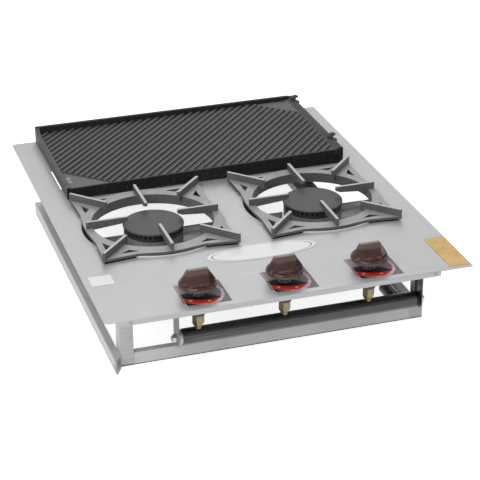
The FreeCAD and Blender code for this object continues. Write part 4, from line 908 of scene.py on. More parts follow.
@dataclass(frozen=True)
class DullRubber(Finish):
    """Matt black rubber or fibre with a dusty bloom."""

    pale: Tone = (0.050, 0.050, 0.053)
    dull: Tone = (0.015, 0.015, 0.016)

    def make(self, shader: Shader) -> bpy.types.Material:
        """Builds the material.

        Args:
            shader: An empty shader.

        Returns:
            The finished material.
        """
        dust = shader.noise(400.0, 3.0)
        bloom = shader.noise(60.0, 3.0)
        return shader.surface(
            Base_Color=shader.blend(dust * 0.7 + bloom * 0.5 - 0.1, self.dull, self.pale),
            Roughness=0.65 + (dust - 0.5) * 0.25,
            Normal=shader.bump(dust, 0.25, 0.0003),
        )


@dataclass(frozen=True)
class PlainLabel(Finish):
    """A blank foil or paper label: soft border, slight waves and handling marks."""

    tone: Tone = (0.80, 0.80, 0.79)
    rim: Tone = (0.60, 0.60, 0.60)
    middle: Triple = (0.0, 0.0, 0.0)
    half: Point = (0.02, 0.02)
    roughness: float = 0.42
    mottle: float = 0.12

    def make(self, shader: Shader) -> bpy.types.Material:
        """Builds the material.

        Args:
            shader: An empty shader.

        Returns:
            The finished material.
        """
        x, y, _ = shader.axes(shader.place(self.middle))
        inset = (self.half[0] - x.size()).least(self.half[1] - y.size())
        border = inset.fade(0.0013, 0.0006)
        waves = shader.noise(45.0, 4.0)
        fibres = shader.noise(900.0, 2.0)
        worn = tuple(c * (1.0 - self.mottle * 2) for c in self.tone)
        tone = shader.blend((waves - 0.42) * 2.0 + (fibres - 0.5) * 0.8, self.tone, worn)
        return shader.surface(
            Base_Color=shader.blend(border * 0.8, tone, self.rim),
            Roughness=self.roughness + (waves - 0.5) * 0.2,
            Normal=shader.bump(waves + fibres * 0.15, 0.2, 0.0006),
        )


@dataclass(frozen=True)
class OvalBadge(Finish):
    """A blank enamelled oval: white field inside a thin dark line."""

    middle: Triple = (0.0, -0.209, PLATE_TOP)
    half: Point = (0.094, 0.027)
    field_pale: Tone = (0.93, 0.93, 0.935)
    field_dull: Tone = (0.86, 0.86, 0.875)
    line: Tone = (0.11, 0.115, 0.14)
    edge: Tone = (0.60, 0.60, 0.61)

    def make(self, shader: Shader) -> bpy.types.Material:
        """Builds the material.

        Args:
            shader: An empty shader.

        Returns:
            The finished material.
        """
        stretch = (1.0 / self.half[0], 1.0 / self.half[1], 1.0)
        x, y, _ = shader.axes(shader.place(self.middle, stretch))
        away = shader.reach(x, y)
        clouds = shader.noise(40.0, 4.0)
        tone = shader.blend((clouds - 0.4) * 1.5, self.field_pale, self.field_dull)
        tone = shader.blend(away.band(0.885, 0.915, 0.012) * 0.85, tone, self.line)
        return shader.surface(
            Base_Color=shader.blend(away.fade(0.965, 0.985) * 0.8, tone, self.edge),
            Roughness=0.42 + (clouds - 0.5) * 0.2,
            Coat_Weight=0.1,
            Normal=shader.bump(clouds, 0.08, 0.0004),
        )


@dataclass(frozen=True)
class DialPrint(Finish):
    """The printed scale under a knob: a wave of black over a red rising band in a pale ring.

    Its sizes are in millimetres from the knob's axis.
    """

    axis: Point = (0.0, TAP_Y)
    left_line: float = -26.6
    front_line: float = -33.4
    ring: Point = (36.4, 41.5)
    face: float = 36.4
    wave: Triple = (-15.0, 8.0, 0.0125)
    band_top: Triple = (17.88, -21.714, -0.00755)
    band_foot: Triple = (8.0, -36.3, -0.015)
    band_left: Triple = (1.0, 0.35, 30.5)
    flash_line: Triple = (0.9, 0.35, 35.5)
    spots: tuple[Point, ...] = ((-16.0, -17.5), (10.9, -26.5))
    ground_dull: Tone = (0.17, 0.165, 0.17)
    ground_pale: Tone = (0.26, 0.25, 0.255)
    rose: Tone = (0.36, 0.27, 0.265)
    ring_pink: Tone = (0.70, 0.30, 0.40)
    ring_white: Tone = (0.78, 0.72, 0.76)
    ring_violet: Tone = (0.30, 0.18, 0.55)
    night: Tone = (0.007, 0.006, 0.009)
    ember: Tone = (0.62, 0.022, 0.024)
    ember_glow: Tone = (0.80, 0.09, 0.05)
    ember_rim: Tone = (0.85, 0.40, 0.30)
    amber: Tone = (0.92, 0.50, 0.07)
    foot: Tone = (0.012, 0.011, 0.013)
    beyond: Tone = (0.02, 0.018, 0.02)
    flash: Tone = (0.80, 0.55, 0.56)
    frame: Tone = (0.80, 0.62, 0.62)
    grit: Tone = (0.4, 0.4, 0.4)

    def make(self, shader: Shader) -> bpy.types.Material:
        """Builds the material.

        Args:
            shader: An empty shader.

        Returns:
            The finished material.
        """
        x, y, _ = shader.axes(shader.place((*self.axis, 0.0), (1.0 / MM, 1.0 / MM, 1.0)))
        clouds = shader.noise(60.0, 4.0)
        grit = shader.noise(1200.0, 2.0)
        tone = shader.blend(clouds * 1.2 - 0.1, self.ground_dull, self.ground_pale)
        tone = shader.blend(x.fade(2.0, -22.0) * y.fade(-12.0, 4.0) * 0.7, tone, self.rose)
        tone = self._ring(shader, tone, x, y)
        tone = self._bands(shader, tone, x, y)
        tone = self._lines(shader, tone, x, y)
        return shader.surface(
            Base_Color=shader.blend((grit - 0.5).fade(0.12, 0.3) * 0.3, tone, self.grit),
            Roughness=0.46 + (clouds - 0.5) * 0.2 + (grit - 0.5) * 0.1,
            Specular_IOR_Level=0.06,
            Normal=shader.bump(clouds + grit * 0.1, 0.1, 0.0004),
        )

    def _ring(self, shader: Shader, tone: Value, x: Value, y: Value) -> Value:
        """Adds the pale ring round the right half, flecked pink and violet.

        Args:
            shader: The dial's shader.
            tone: The colour so far.
            x: Distance to the right of the axis.
            y: Distance behind the axis.

        Returns:
            The colour with the ring.
        """
        patches = shader.noise(210.0, 2.0)
        flecks = shader.blend(patches.fade(0.42, 0.58), self.ring_pink, self.ring_white)
        flecks = shader.blend(patches.fade(0.62, 0.68) * 0.8, flecks, self.ring_violet)
        ring = shader.reach(x, y).band(*self.ring, 0.4) * x.fade(2.0, 20.0)
        return shader.blend(ring * 0.9, tone, flecks)

    def _bands(self, shader: Shader, tone: Value, x: Value, y: Value) -> Value:
        """Adds the black wave, the red band that rises below it and the band's two amber spots.

        Args:
            shader: The dial's shader.
            tone: The colour so far.
            x: Distance to the right of the axis.
            y: Distance behind the axis.

        Returns:
            The colour with the bands.
        """
        away = shader.reach(x, y)
        inside = away.fade(self.face + 0.5, self.face)
        tone = shader.blend(self._over(x, y, self.wave).fade(0.6, -0.6) * inside, tone, self.night)
        crest = self._over(x, y, self.band_top)
        foot = self._over(x.least(self.band_foot[0]), y, self.band_foot)
        start = self._beyond(x, y, self.band_left).fade(-0.6, 0.6)
        ember = crest.fade(0.5, -0.5) * inside * foot.fade(-0.5, 0.5) * start
        tone = shader.blend(ember, tone, self.ember)
        tone = shader.blend(crest.fade(-4.0, -15.0) * ember * 0.3, tone, self.ember_glow)
        corner = (1.0 - start) * crest.fade(0.5, -0.5)
        under = foot.fade(0.5, -0.5).most(corner) * inside * x.fade(8.0, 5.0)
        tone = shader.blend(under * 0.95, tone, self.foot)
        rim = (foot.least(self.face - 0.1 - away) - 0.6).size().fade(0.7, 0.3) * ember
        tone = shader.blend(rim * 0.8, tone, self.ember_rim)
        for spot_x, spot_y in self.spots:
            near = shader.reach(x - spot_x, y - spot_y)
            tone = shader.blend(near.fade(3.4, 1.2) * 0.9, tone, self.amber)
        return tone

    def _lines(self, shader: Shader, tone: Value, x: Value, y: Value) -> Value:
        """Adds the dark front corner, its slanting flash and the thin frame lines.

        Args:
            shader: The dial's shader.
            tone: The colour so far.
            x: Distance to the right of the axis.
            y: Distance behind the axis.

        Returns:
            The colour with the lines.
        """
        outside = shader.reach(x, y).fade(36.6, 37.2) * y.fade(-24.0, -28.0) * x.fade(12.0, 8.0)
        tone = shader.blend(outside * 0.9, tone, self.beyond)
        flash = self._beyond(x, y, self.flash_line).size().fade(1.3, 0.5) * y.fade(-22.0, -26.0)
        tone = shader.blend(flash * 0.8, tone, self.flash)
        side = (x - self.left_line).size().fade(0.9, 0.4)
        front = (y - self.front_line).size().fade(0.8, 0.4) * x.fade(8.0, 4.0)
        return shader.blend(side.most(front) * 0.75, tone, self.frame)

    @staticmethod
    def _over(x: Value, y: Value, arch: Triple) -> Value:
        """Height over an arch, which is its top's place and how fast it bends down."""
        top_x, top_y, bend = arch
        return y - top_y + (x - top_x) * (x - top_x) * bend

    @staticmethod
    def _beyond(x: Value, y: Value, line: Triple) -> Value:
        """How far a place lies beyond a slanting line, which is a share of x, one of y and a shift."""
        return x * line[0] + y * line[1] + line[2]


PLATE_STEEL = HobSheet("plate_steel_sheet")
RIVET_STEEL = TurnedMetal("rivet_dull_steel", (0.46, 0.46, 0.47), (0.36, 0.36, 0.37), 0.48, metallic=0.4)
STRAP_STEEL = WeldedBar("strap_grey_steel", (0.33, 0.335, 0.345), (0.23, 0.235, 0.245))
BRACKET_STEEL = BrushedSheet("bracket_steel_sheet", (0.44, 0.445, 0.455), (0.31, 0.315, 0.33), 0.46, Axis.Y)
FRAME_BAR = WeldedBar("frame_bar_steel", (0.67, 0.675, 0.69), (0.47, 0.475, 0.49), foot=0.0035)
# The frame steel in a lighter tone for the front and back rails: painted light, for how brightly the rails
# catch the light
LIT_RAIL_BAR = WeldedBar("rail_bar_steel", (0.80, 0.805, 0.815), (0.58, 0.585, 0.60), foot=0.0030)
LEFT_BAR = WeldedBar(
    "left_bar_steel",
    (0.66, 0.665, 0.68),
    (0.46, 0.465, 0.48),
    roughness=0.42,
    stain_at=(-0.270, -0.322, 0.012),
    stain_reach=0.016,
    foot=0.0035,
)
# Black for the right rail and the right strap: painted shade, standing in for the shade on their faces, with
# a painted highlight line at seam_x
SHADED_DARK_BAR = SatinPaint(
    "dark_frame_bar",
    (0.075, 0.075, 0.08),
    (0.022, 0.022, 0.025),
    roughness=0.38,
    scratch=(0.22, 0.22, 0.23),
    seam_x=0.2198,
)
BRIGHT_FASTENER = TurnedMetal("bright_fastener", (0.70, 0.70, 0.71), (0.48, 0.48, 0.49), 0.28)
CREAM_ZINC = TurnedMetal("cream_zinc_plug", (0.52, 0.49, 0.42), (0.32, 0.30, 0.25), 0.36, painted_beyond=0.1)
STEM_STEEL = TurnedMetal("turned_stem_steel", (0.62, 0.62, 0.63), (0.40, 0.41, 0.42), 0.30)
SPRING_WIRE = TurnedMetal("spring_wire", (0.50, 0.50, 0.52), (0.30, 0.30, 0.32), 0.32)
TAP_BRASS = TurnedMetal("tap_turned_brass", toned_above=0.0822, upper_tone=(0.055, 0.050, 0.047), metallic=0.7)
JET_BRASS = TurnedMetal("jet_brass", (0.60, 0.47, 0.22), (0.34, 0.25, 0.10))
# The pipe's top is painted dark above the crown, a painted reflection of the plate's underside, with a
# painted highlight line below
MANIFOLD_BLACK = SatinPaint("manifold_black_paint", crown=0.0515)
# seam_x draws a painted highlight line along the inlet
INLET_BLACK = SatinPaint(
    "inlet_black_paint",
    (0.040, 0.040, 0.043),
    (0.010, 0.010, 0.011),
    roughness=0.5,
    scratch=(0.16, 0.16, 0.17),
    seam_x=0.1917,
)
GRATE_IRON = CastIron(
    "grate_grey_iron",
    (0.50, 0.505, 0.515),
    (0.32, 0.325, 0.335),
    (0.64, 0.645, 0.655),
    crest=0.1345,
    root=0.1219,
    shaded_flank=(0.135, 0.137, 0.143),
    shaded_flank_share=1.0,
)
GRIDDLE_IRON = RibbedIron("griddle_black_iron")
CAP_IRON = CastIron(
    "cap_dark_iron",
    (0.115, 0.115, 0.12),
    (0.076, 0.077, 0.081),
    metallic=0.0,
    skin=0.2,
    pits=1300.0,
    shaded_flank=(0.022, 0.022, 0.024),
    shaded_flank_share=0.9,
)
BURNER_IRON = CastIron(
    "burner_grey_iron",
    (0.22, 0.22, 0.225),
    (0.13, 0.13, 0.135),
    roughness=0.52,
    metallic=0.1,
    skin=0.35,
    pits=800.0,
    shaded_above=0.1045,
)
KNOB_BROWN = GlossMoulding("knob_brown_moulding")
SEAL_BLACK = DullRubber("seal_black_fibre")
WELD_STEEL = WeldedBar("weld_bead_steel", (0.36, 0.36, 0.37), (0.20, 0.20, 0.21), roughness=0.4)


class Bench:
    """The tools that shape a mesh, each one a step done by hand."""

    @staticmethod
    def clear() -> None:
        """Leaves edit mode and lets go of everything."""
        if bpy.context.object is not None and bpy.context.object.mode != "OBJECT":
            bpy.ops.object.mode_set(mode="OBJECT")
        bpy.ops.object.select_all(action="DESELECT")

    @classmethod
    def take(cls, piece: Object) -> None:
        """Makes one piece the only one in hand.

        Args:
            piece: The piece.
        """
        cls.clear()
        piece.select_set(True)
        bpy.context.view_layer.objects.active = piece

    @classmethod
    def open(cls, piece: Object) -> None:
        """Takes a piece into edit mode, selected all over.

        Args:
            piece: The piece.
        """
        cls.take(piece)
        bpy.ops.object.mode_set(mode="EDIT")
        bpy.ops.mesh.select_all(action="SELECT")

    @classmethod
    def shut(cls, piece: Object) -> Object:
        """Merges doubles, turns every face outwards and leaves edit mode.

        Args:
            piece: The piece in edit mode.

        Returns:
            The same piece.
        """
        bpy.ops.mesh.select_all(action="SELECT")
        bpy.ops.mesh.remove_doubles(threshold=TOUCH)
        bpy.ops.mesh.normals_make_consistent(inside=False)
        bpy.ops.object.mode_set(mode="OBJECT")
        return piece

    @staticmethod
    def pick(piece: Object, test: Callable[[Vector], bool]) -> None:
        """Selects the points of a piece that pass a test on their place, in edit mode.

        Args:
            piece: The piece in edit mode.
            test: Tells of a point's place whether it is meant.
        """
        bpy.ops.mesh.select_mode(type="VERT")
        bpy.ops.mesh.select_all(action="DESELECT")
        mesh = bmesh.from_edit_mesh(piece.data)
        for point in mesh.verts:
            point.select = test(point.co)
        mesh.select_flush_mode()
        bmesh.update_edit_mesh(piece.data)

    @classmethod
    def modify(cls, piece: Object, kind: str, **settings: object) -> None:
        """Adds one modifier and applies it.

        Args:
            piece: The piece in hand.
            kind: The modifier's type.
            **settings: The modifier's own settings.
        """
        cls.take(piece)
        modifier = piece.modifiers.new("step", kind)
        for key, value in settings.items():
            setattr(modifier, key, value)
        bpy.ops.object.modifier_apply(modifier=modifier.name)

    @classmethod
    def smooth(cls, piece: Object, angle: float = 35.0) -> None:
        """Shades a piece smooth except over sharp edges, led by its broad faces.

        Args:
            piece: The piece.
            angle: Edges sharper than this stay sharp, in degrees.
        """
        cls.take(piece)
        bpy.ops.object.shade_smooth_by_angle(angle=math.radians(angle))
        cls.modify(piece, "WEIGHTED_NORMAL", keep_sharp=True, weight=80)

    @classmethod
    def round_off(cls, piece: Object, width: float, steps: int = 2, angle: float = 40.0) -> None:
        """Rounds the sharp edges of a piece.

        Args:
            piece: The piece.
            width: The rounding's width.
            steps: Facets across it.
            angle: Edges sharper than this are rounded, in degrees.
        """
        cls.modify(
            piece,
            "BEVEL",
            width=width,
            segments=steps,
            limit_method="ANGLE",
            angle_limit=math.radians(angle),
            use_clamp_overlap=True,
            miter_outer="MITER_ARC",
        )

    @classmethod
    def sheet(cls, name: str, middle: Triple, size: Point, thick: float, corner: float) -> Object:
        """A flat plate with rounded corners, lying on a face.

        Args:
            name: The piece's name.
            middle: The middle of its underside.
            size: Its width and depth.
            thick: Its thickness.
            corner: The rounding of its corners.

        Returns:
            The plate.
        """
        cls.clear()
        bpy.ops.mesh.primitive_plane_add(size=1.0, location=middle)
        piece = cls.named(name)
        cls.open(piece)
        bpy.ops.transform.resize(value=(*size, 1.0), center_override=middle)
        bpy.ops.mesh.bevel(offset=corner, offset_pct=0, segments=5, affect="VERTICES")
        bpy.ops.mesh.select_all(action="SELECT")
        bpy.ops.mesh.extrude_region_move(TRANSFORM_OT_translate={"value": (0, 0, thick)})
        return cls.shut(piece)

    @classmethod
    def turn(
        cls, name: str, middle: Point, profile: Sequence[Point], sides: int = 64, ring: bool = False
    ) -> Object:
        """A turned form, drawn out circle by circle along its profile.

        Args:
            name: The piece's name.
            middle: The place of its upright axis.
            profile: Radius and height of each circle.
            sides: Corners of each circle.
            ring: Whether the last circle meets the first, as in a hoop.

        Returns:
            The turned piece, closed all round.
        """
        cls.clear()
        radius, height = profile[0]
        bpy.ops.mesh.primitive_circle_add(
            vertices=sides, radius=radius, location=(*middle, height), fill_type="NOTHING"
        )
        piece = cls.named(name)
        cls.open(piece)
        path = [*profile, profile[0]] if ring else profile
        for (inner, low), (outer, high) in zip(path, path[1:]):
            bpy.ops.mesh.extrude_edges_move(TRANSFORM_OT_translate={"value": (0, 0, high - low)})
            scale = outer / inner
            bpy.ops.transform.resize(value=(scale, scale, 1.0), center_override=(*middle, high))
        if not ring:
            bpy.ops.mesh.edge_face_add()
            foot = Vector((*middle, height))
            cls.pick(piece, lambda p: abs(p.z - height) < TOUCH and abs((p - foot).length - radius) < TOUCH)
            bpy.ops.mesh.edge_face_add()
        return cls.shut(piece)

    @classmethod
    def slice(cls, piece: Object, point: Triple, normal: Triple) -> None:
        """Cuts away all of a piece that lies on one side of a plane.

        Args:
            piece: The piece.
            point: A point of the plane.
            normal: The direction in which the waste lies.
        """
        cls.open(piece)
        bpy.ops.mesh.bisect(plane_co=point, plane_no=normal, use_fill=True, clear_outer=True)
        cls.shut(piece)

    @classmethod
    def unite(cls, piece: Object, other: Object) -> Object:
        """Melts a second piece into the first.

        Args:
            piece: The first piece.
            other: The second piece, which is used up.

        Returns:
            The first piece.
        """
        cls.modify(piece, "BOOLEAN", operation="UNION", solver="EXACT", object=other)
        bpy.data.objects.remove(other)
        return piece

    @classmethod
    def copy(cls, piece: Object, name: str, shift: Triple) -> Object:
        """A copy with its own mesh, moved by a shift.

        Args:
            piece: The piece to copy.
            name: The copy's name.
            shift: How far the copy is moved.

        Returns:
            The copy, with its place in its mesh.
        """
        twin = piece.copy()
        twin.data = piece.data.copy()
        twin.name = twin.data.name = name
        bpy.context.scene.collection.objects.link(twin)
        twin.data.transform(Matrix.Translation(shift))
        return twin

    @staticmethod
    def named(name: str) -> Object:
        """Names the primitive just added, and puts its place in its mesh.

        Args:
            name: The piece's name.

        Returns:
            The piece.
        """
        piece = bpy.context.object
        piece.name = piece.data.name = name
        bpy.ops.object.transform_apply(location=True, rotation=True, scale=True)
        return piece

    @classmethod
    def copy_node(cls, node: str, name: str, whole: bool = False) -> Object:
        """A merged copy of a CAD node's mesh, as a new piece.

        Args:
            node: The CAD node.
            name: The new piece's name.
            whole: Whether flat faces are made whole, for a rounding.

        Returns:
            The new piece.
        """
        piece = bpy.data.objects.new(name, frame["nodes"][node].data.copy())
        piece.data.name = name
        bpy.context.scene.collection.objects.link(piece)
        cls.open(piece)
        bpy.ops.mesh.remove_doubles(threshold=CAD_TOUCH)
        if whole:
            bpy.ops.mesh.dissolve_limited(angle_limit=math.radians(0.6))
        bpy.ops.object.mode_set(mode="OBJECT")
        return piece

    @classmethod
    def soften(cls, node: str, name: str, width: float, steps: int) -> Object:
        """A copy of a CAD node with its sharp edges rounded.

        Args:
            node: The CAD node.
            name: The new piece's name.
            width: The rounding's width; 0 leaves the edges sharp.
            steps: Facets across the rounding.

        Returns:
            The new piece.
        """
        piece = cls.copy_node(node, name, width > 0)
        if width:
            cls.round_off(piece, width, steps)
        cls.smooth(piece)
        return piece


@dataclass
class Assembly:
    """A sub-assembly: its pieces, and how each one is dressed."""

    title: str
    pieces: list[Object] = field(default_factory=list)

    def build(self) -> None:
        """Builds and dresses the pieces."""
        raise NotImplementedError(self.title)

    def dress(
        self, piece: Object, finish: Finish, body: str, slot: str, nodes: Iterable[str] = ()
    ) -> Object:
        """Gives a piece its finish and its place in the model.

        Args:
            piece: The piece.
            finish: Its finish.
            body: The body that it moves with.
            slot: The record's material slot; not used.
            nodes: The CAD nodes that it stands for.

        Returns:
            The same piece.
        """
        self.coat(piece, finish)
        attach(piece, body)
        if nodes:
            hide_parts(*nodes)
        return piece

    def coat(self, piece: Object, finish: Finish) -> None:
        """Gives a piece its material.

        Args:
            piece: The piece, or a CAD node that stays.
            finish: Its finish.
        """
        piece.data.materials.clear()
        piece.data.materials.append(finish.material())
        self.pieces.append(piece)

    def swap(
        self, node: str, finish: Finish, slot: str, width: float = 0.0, body: str = "base", steps: int = 2
    ) -> Object:
        """Replaces a CAD node by its copy with edges rounded to a width, and dresses the copy."""
        piece = Bench.soften(node, node + "_form", width, steps)
        return self.dress(piece, finish, body, slot, (node,))

    def report(self) -> None:
        """Logs each piece with its count of faces."""
        for piece in self.pieces:
            LOG.info("%s: %s, %d faces", self.title, piece.name, len(piece.data.polygons))


@dataclass
class TopPlate(Assembly):
    """The pale steel plate with its lips, rivets and pressed well rims."""

    title: str = "top plate"
    rim_reach: float = 0.1285
    rim_hidden: float = 0.1085
    rim_raised: float = 0.08 * MM
    rim_pressed: float = 0.03
    notch_left: float = -0.262
    notch_y: Point = (0.13, 0.23)
    notch_shift: float = 5.0 * MM
    rim_profile: tuple[Point, ...] = (
        (0.1232, 0.11505),
        (0.1220, 0.11550),
        (0.1206, 0.11555),
        (0.1195, 0.11500),
        (0.1187, 0.11370),
        (0.1178, 0.11280),
        (0.1101, 0.11180),
        (0.1101, 0.11100),
        (0.1180, 0.11160),
        (0.1194, 0.11290),
        (0.1206, 0.11400),
        (0.1232, 0.11430),
    )

    def build(self) -> None:
        """Builds the plate, its rivets and the rims of its two wells."""
        self._plate()
        self.swap("lip_rivets", RIVET_STEEL, "rivet_steel")
        well = (BURNER_X["left"], BURNER_Y)
        rim = Bench.turn("well_rim_left", well, self.rim_profile, sides=96, ring=True)
        Bench.smooth(rim, 50.0)
        twin = Bench.copy(rim, "well_rim_right", (BURNER_X["right"] - BURNER_X["left"], 0.0, 0.0))
        for piece in (rim, twin):
            self.dress(piece, PLATE_STEEL, "base", "plate_steel")

    def _plate(self) -> None:
        """Dresses the plate, each raised rim pressed flat where no grate lies on it."""
        piece = Bench.copy_node("top_plate", "top_plate_form")
        Bench.open(piece)
        for side in SIDES:
            well = Vector((BURNER_X[side], BURNER_Y, PLATE_TOP))
            Bench.pick(
                piece,
                lambda p: p.z > PLATE_TOP + self.rim_raised
                and abs(p.x - well.x) > self.rim_hidden
                and (p - well).xy.length < self.rim_reach,
            )
            bpy.ops.transform.resize(value=(1.0, 1.0, self.rim_pressed), center_override=well)
        near, far = self.notch_y
        Bench.pick(piece, lambda p: abs(p.x - self.notch_left) < 0.2 * MM and near < p.y < far)
        bpy.ops.transform.translate(value=(self.notch_shift, 0.0, 0.0))
        bpy.ops.object.mode_set(mode="OBJECT")
        Bench.smooth(piece)
        self.dress(piece, PLATE_STEEL, "base", "plate_steel", ("top_plate",))


@dataclass
class BarFrame(Assembly):
    """The welded bar frame under the plate."""

    title: str = "bar frame"
    edge: float = 1.2 * MM
    post_edge: float = 0.5 * MM
    bead: float = 1.5 * MM
    bead_step: float = 1.7 * MM
    bead_shape: Triple = (1.0, 1.25, 0.7)
    bead_drops: int = 6
    bead_grain: float = 0.5 * MM
    seam_x: Point = (-0.2425, 0.2225)
    seam_y: Point = (-0.3025, 0.2900)
    seam_z: float = 0.0222

    def build(self) -> None:
        """Builds posts, rails and the weld beads between them."""
        for end, side in product(ENDS, SIDES):
            self.swap(f"post_{end}_{side}", FRAME_BAR, "frame_steel", self.post_edge)
        for end in ENDS:
            self.swap(f"rail_{end}", LIT_RAIL_BAR, "frame_steel", self.edge)
        self.swap("rail_left", LEFT_BAR, "frame_steel", self.edge)
        self.swap("rail_right", SHADED_DARK_BAR, "dark_frame", self.edge)
        left, front = self.seam_x[0], self.seam_y[0]
        bead = self._bead((left, front, self.seam_z))
        for (end, y), (side, x) in product(zip(ENDS, self.seam_y), zip(SIDES, self.seam_x)):
            weld = Bench.copy(bead, f"weld_{end}_{side}", (x - left, y - front, 0.0))
            self.dress(weld, WELD_STEEL, "base", "frame_steel")
        bpy.data.objects.remove(bead)

    def _bead(self, start: Triple) -> Object:
        """One short weld: overlapping flattened drops in a row along Y.

        Args:
            start: The middle of the first drop.

        Returns:
            The bead, as a pattern for its copies.
        """
        Bench.clear()
        bpy.ops.mesh.primitive_uv_sphere_add(segments=14, ring_count=8, radius=self.bead, location=start)
        drop = bpy.context.object
        Bench.open(drop)
        bpy.ops.transform.resize(value=self.bead_shape)
        for _ in range(self.bead_drops - 1):
            bpy.ops.mesh.duplicate_move(TRANSFORM_OT_translate={"value": (0, self.bead_step, 0)})
        bpy.ops.object.mode_set(mode="OBJECT")
        bpy.ops.object.transform_apply(location=True, rotation=True, scale=True)
        Bench.modify(drop, "REMESH", mode="VOXEL", voxel_size=self.bead_grain)
        Bench.smooth(drop, 60.0)
        return drop


@dataclass
class Brackets(Assembly):
    """The bridge under the burners and the griddle's runners."""

    title: str = "brackets"

    def build(self) -> None:
        """Builds the bent sheet brackets and their screws."""
        for node in ("burner_bridge", "griddle_runner_left", "griddle_runner_right"):
            self.swap(node, BRACKET_STEEL, "bracket_steel")
        self.swap("burner_screws", BRIGHT_FASTENER, "fastener_steel")


@dataclass
class Burners(Assembly):
    """The ring burners, their caps and the griddle's bar burner."""

    title: str = "burners"
    cap_edge: float = 0.5 * MM

    def build(self) -> None:
        """Builds the cast burners."""
        for side in SIDES:
            self.swap(f"burner_body_{side}", BURNER_IRON, "burner_iron")
            body = f"cap_lift_{side}"
            self.swap(f"burner_cap_{side}", CAP_IRON, "cap_iron", self.cap_edge, body, steps=3)
        self.swap("griddle_burner", BURNER_IRON, "burner_iron")


@dataclass
class Grates(Assembly):
    """The two square iron grates."""

    title: str = "grates"
    edge: float = 0.9 * MM

    def build(self) -> None:
        """Builds both grates."""
        for side in SIDES:
            self.swap(f"grate_{side}", GRATE_IRON, "grate_iron", self.edge, f"grate_lift_{side}")


@dataclass
class Griddle(Assembly):
    """The ribbed griddle."""

    title: str = "griddle"
    edge: float = 0.8 * MM

    def build(self) -> None:
        """Builds the griddle casting."""
        self.swap("griddle", GRIDDLE_IRON, "griddle_iron", self.edge, "griddle_lift")


@dataclass
class Manifold(Assembly):
    """The black gas pipe, its straps and the inlet."""

    title: str = "manifold"
    plug_edge: float = 0.6 * MM
    edge: float = 0.4 * MM
    fine_edge: float = 0.3 * MM

    def build(self) -> None:
        """Builds the pipe and what holds it."""
        for node, finish, slot, width in (
            ("manifold_pipe", MANIFOLD_BLACK, "manifold_black", 0.0),
            ("manifold_plugs", CREAM_ZINC, "manifold_black", self.plug_edge),
            ("manifold_strap_left", STRAP_STEEL, "frame_steel", self.edge),
            ("manifold_strap_right", SHADED_DARK_BAR, "dark_frame", self.edge),
            ("strap_nuts", BRIGHT_FASTENER, "fastener_steel", self.fine_edge),
            ("gas_inlet", INLET_BLACK, "inlet_black", self.fine_edge),
            ("collar_nuts", BRIGHT_FASTENER, "collar_steel", self.edge),
            ("gas_jets", JET_BRASS, "tap_brass", 0.0),
        ):
            self.swap(node, finish, slot, width)


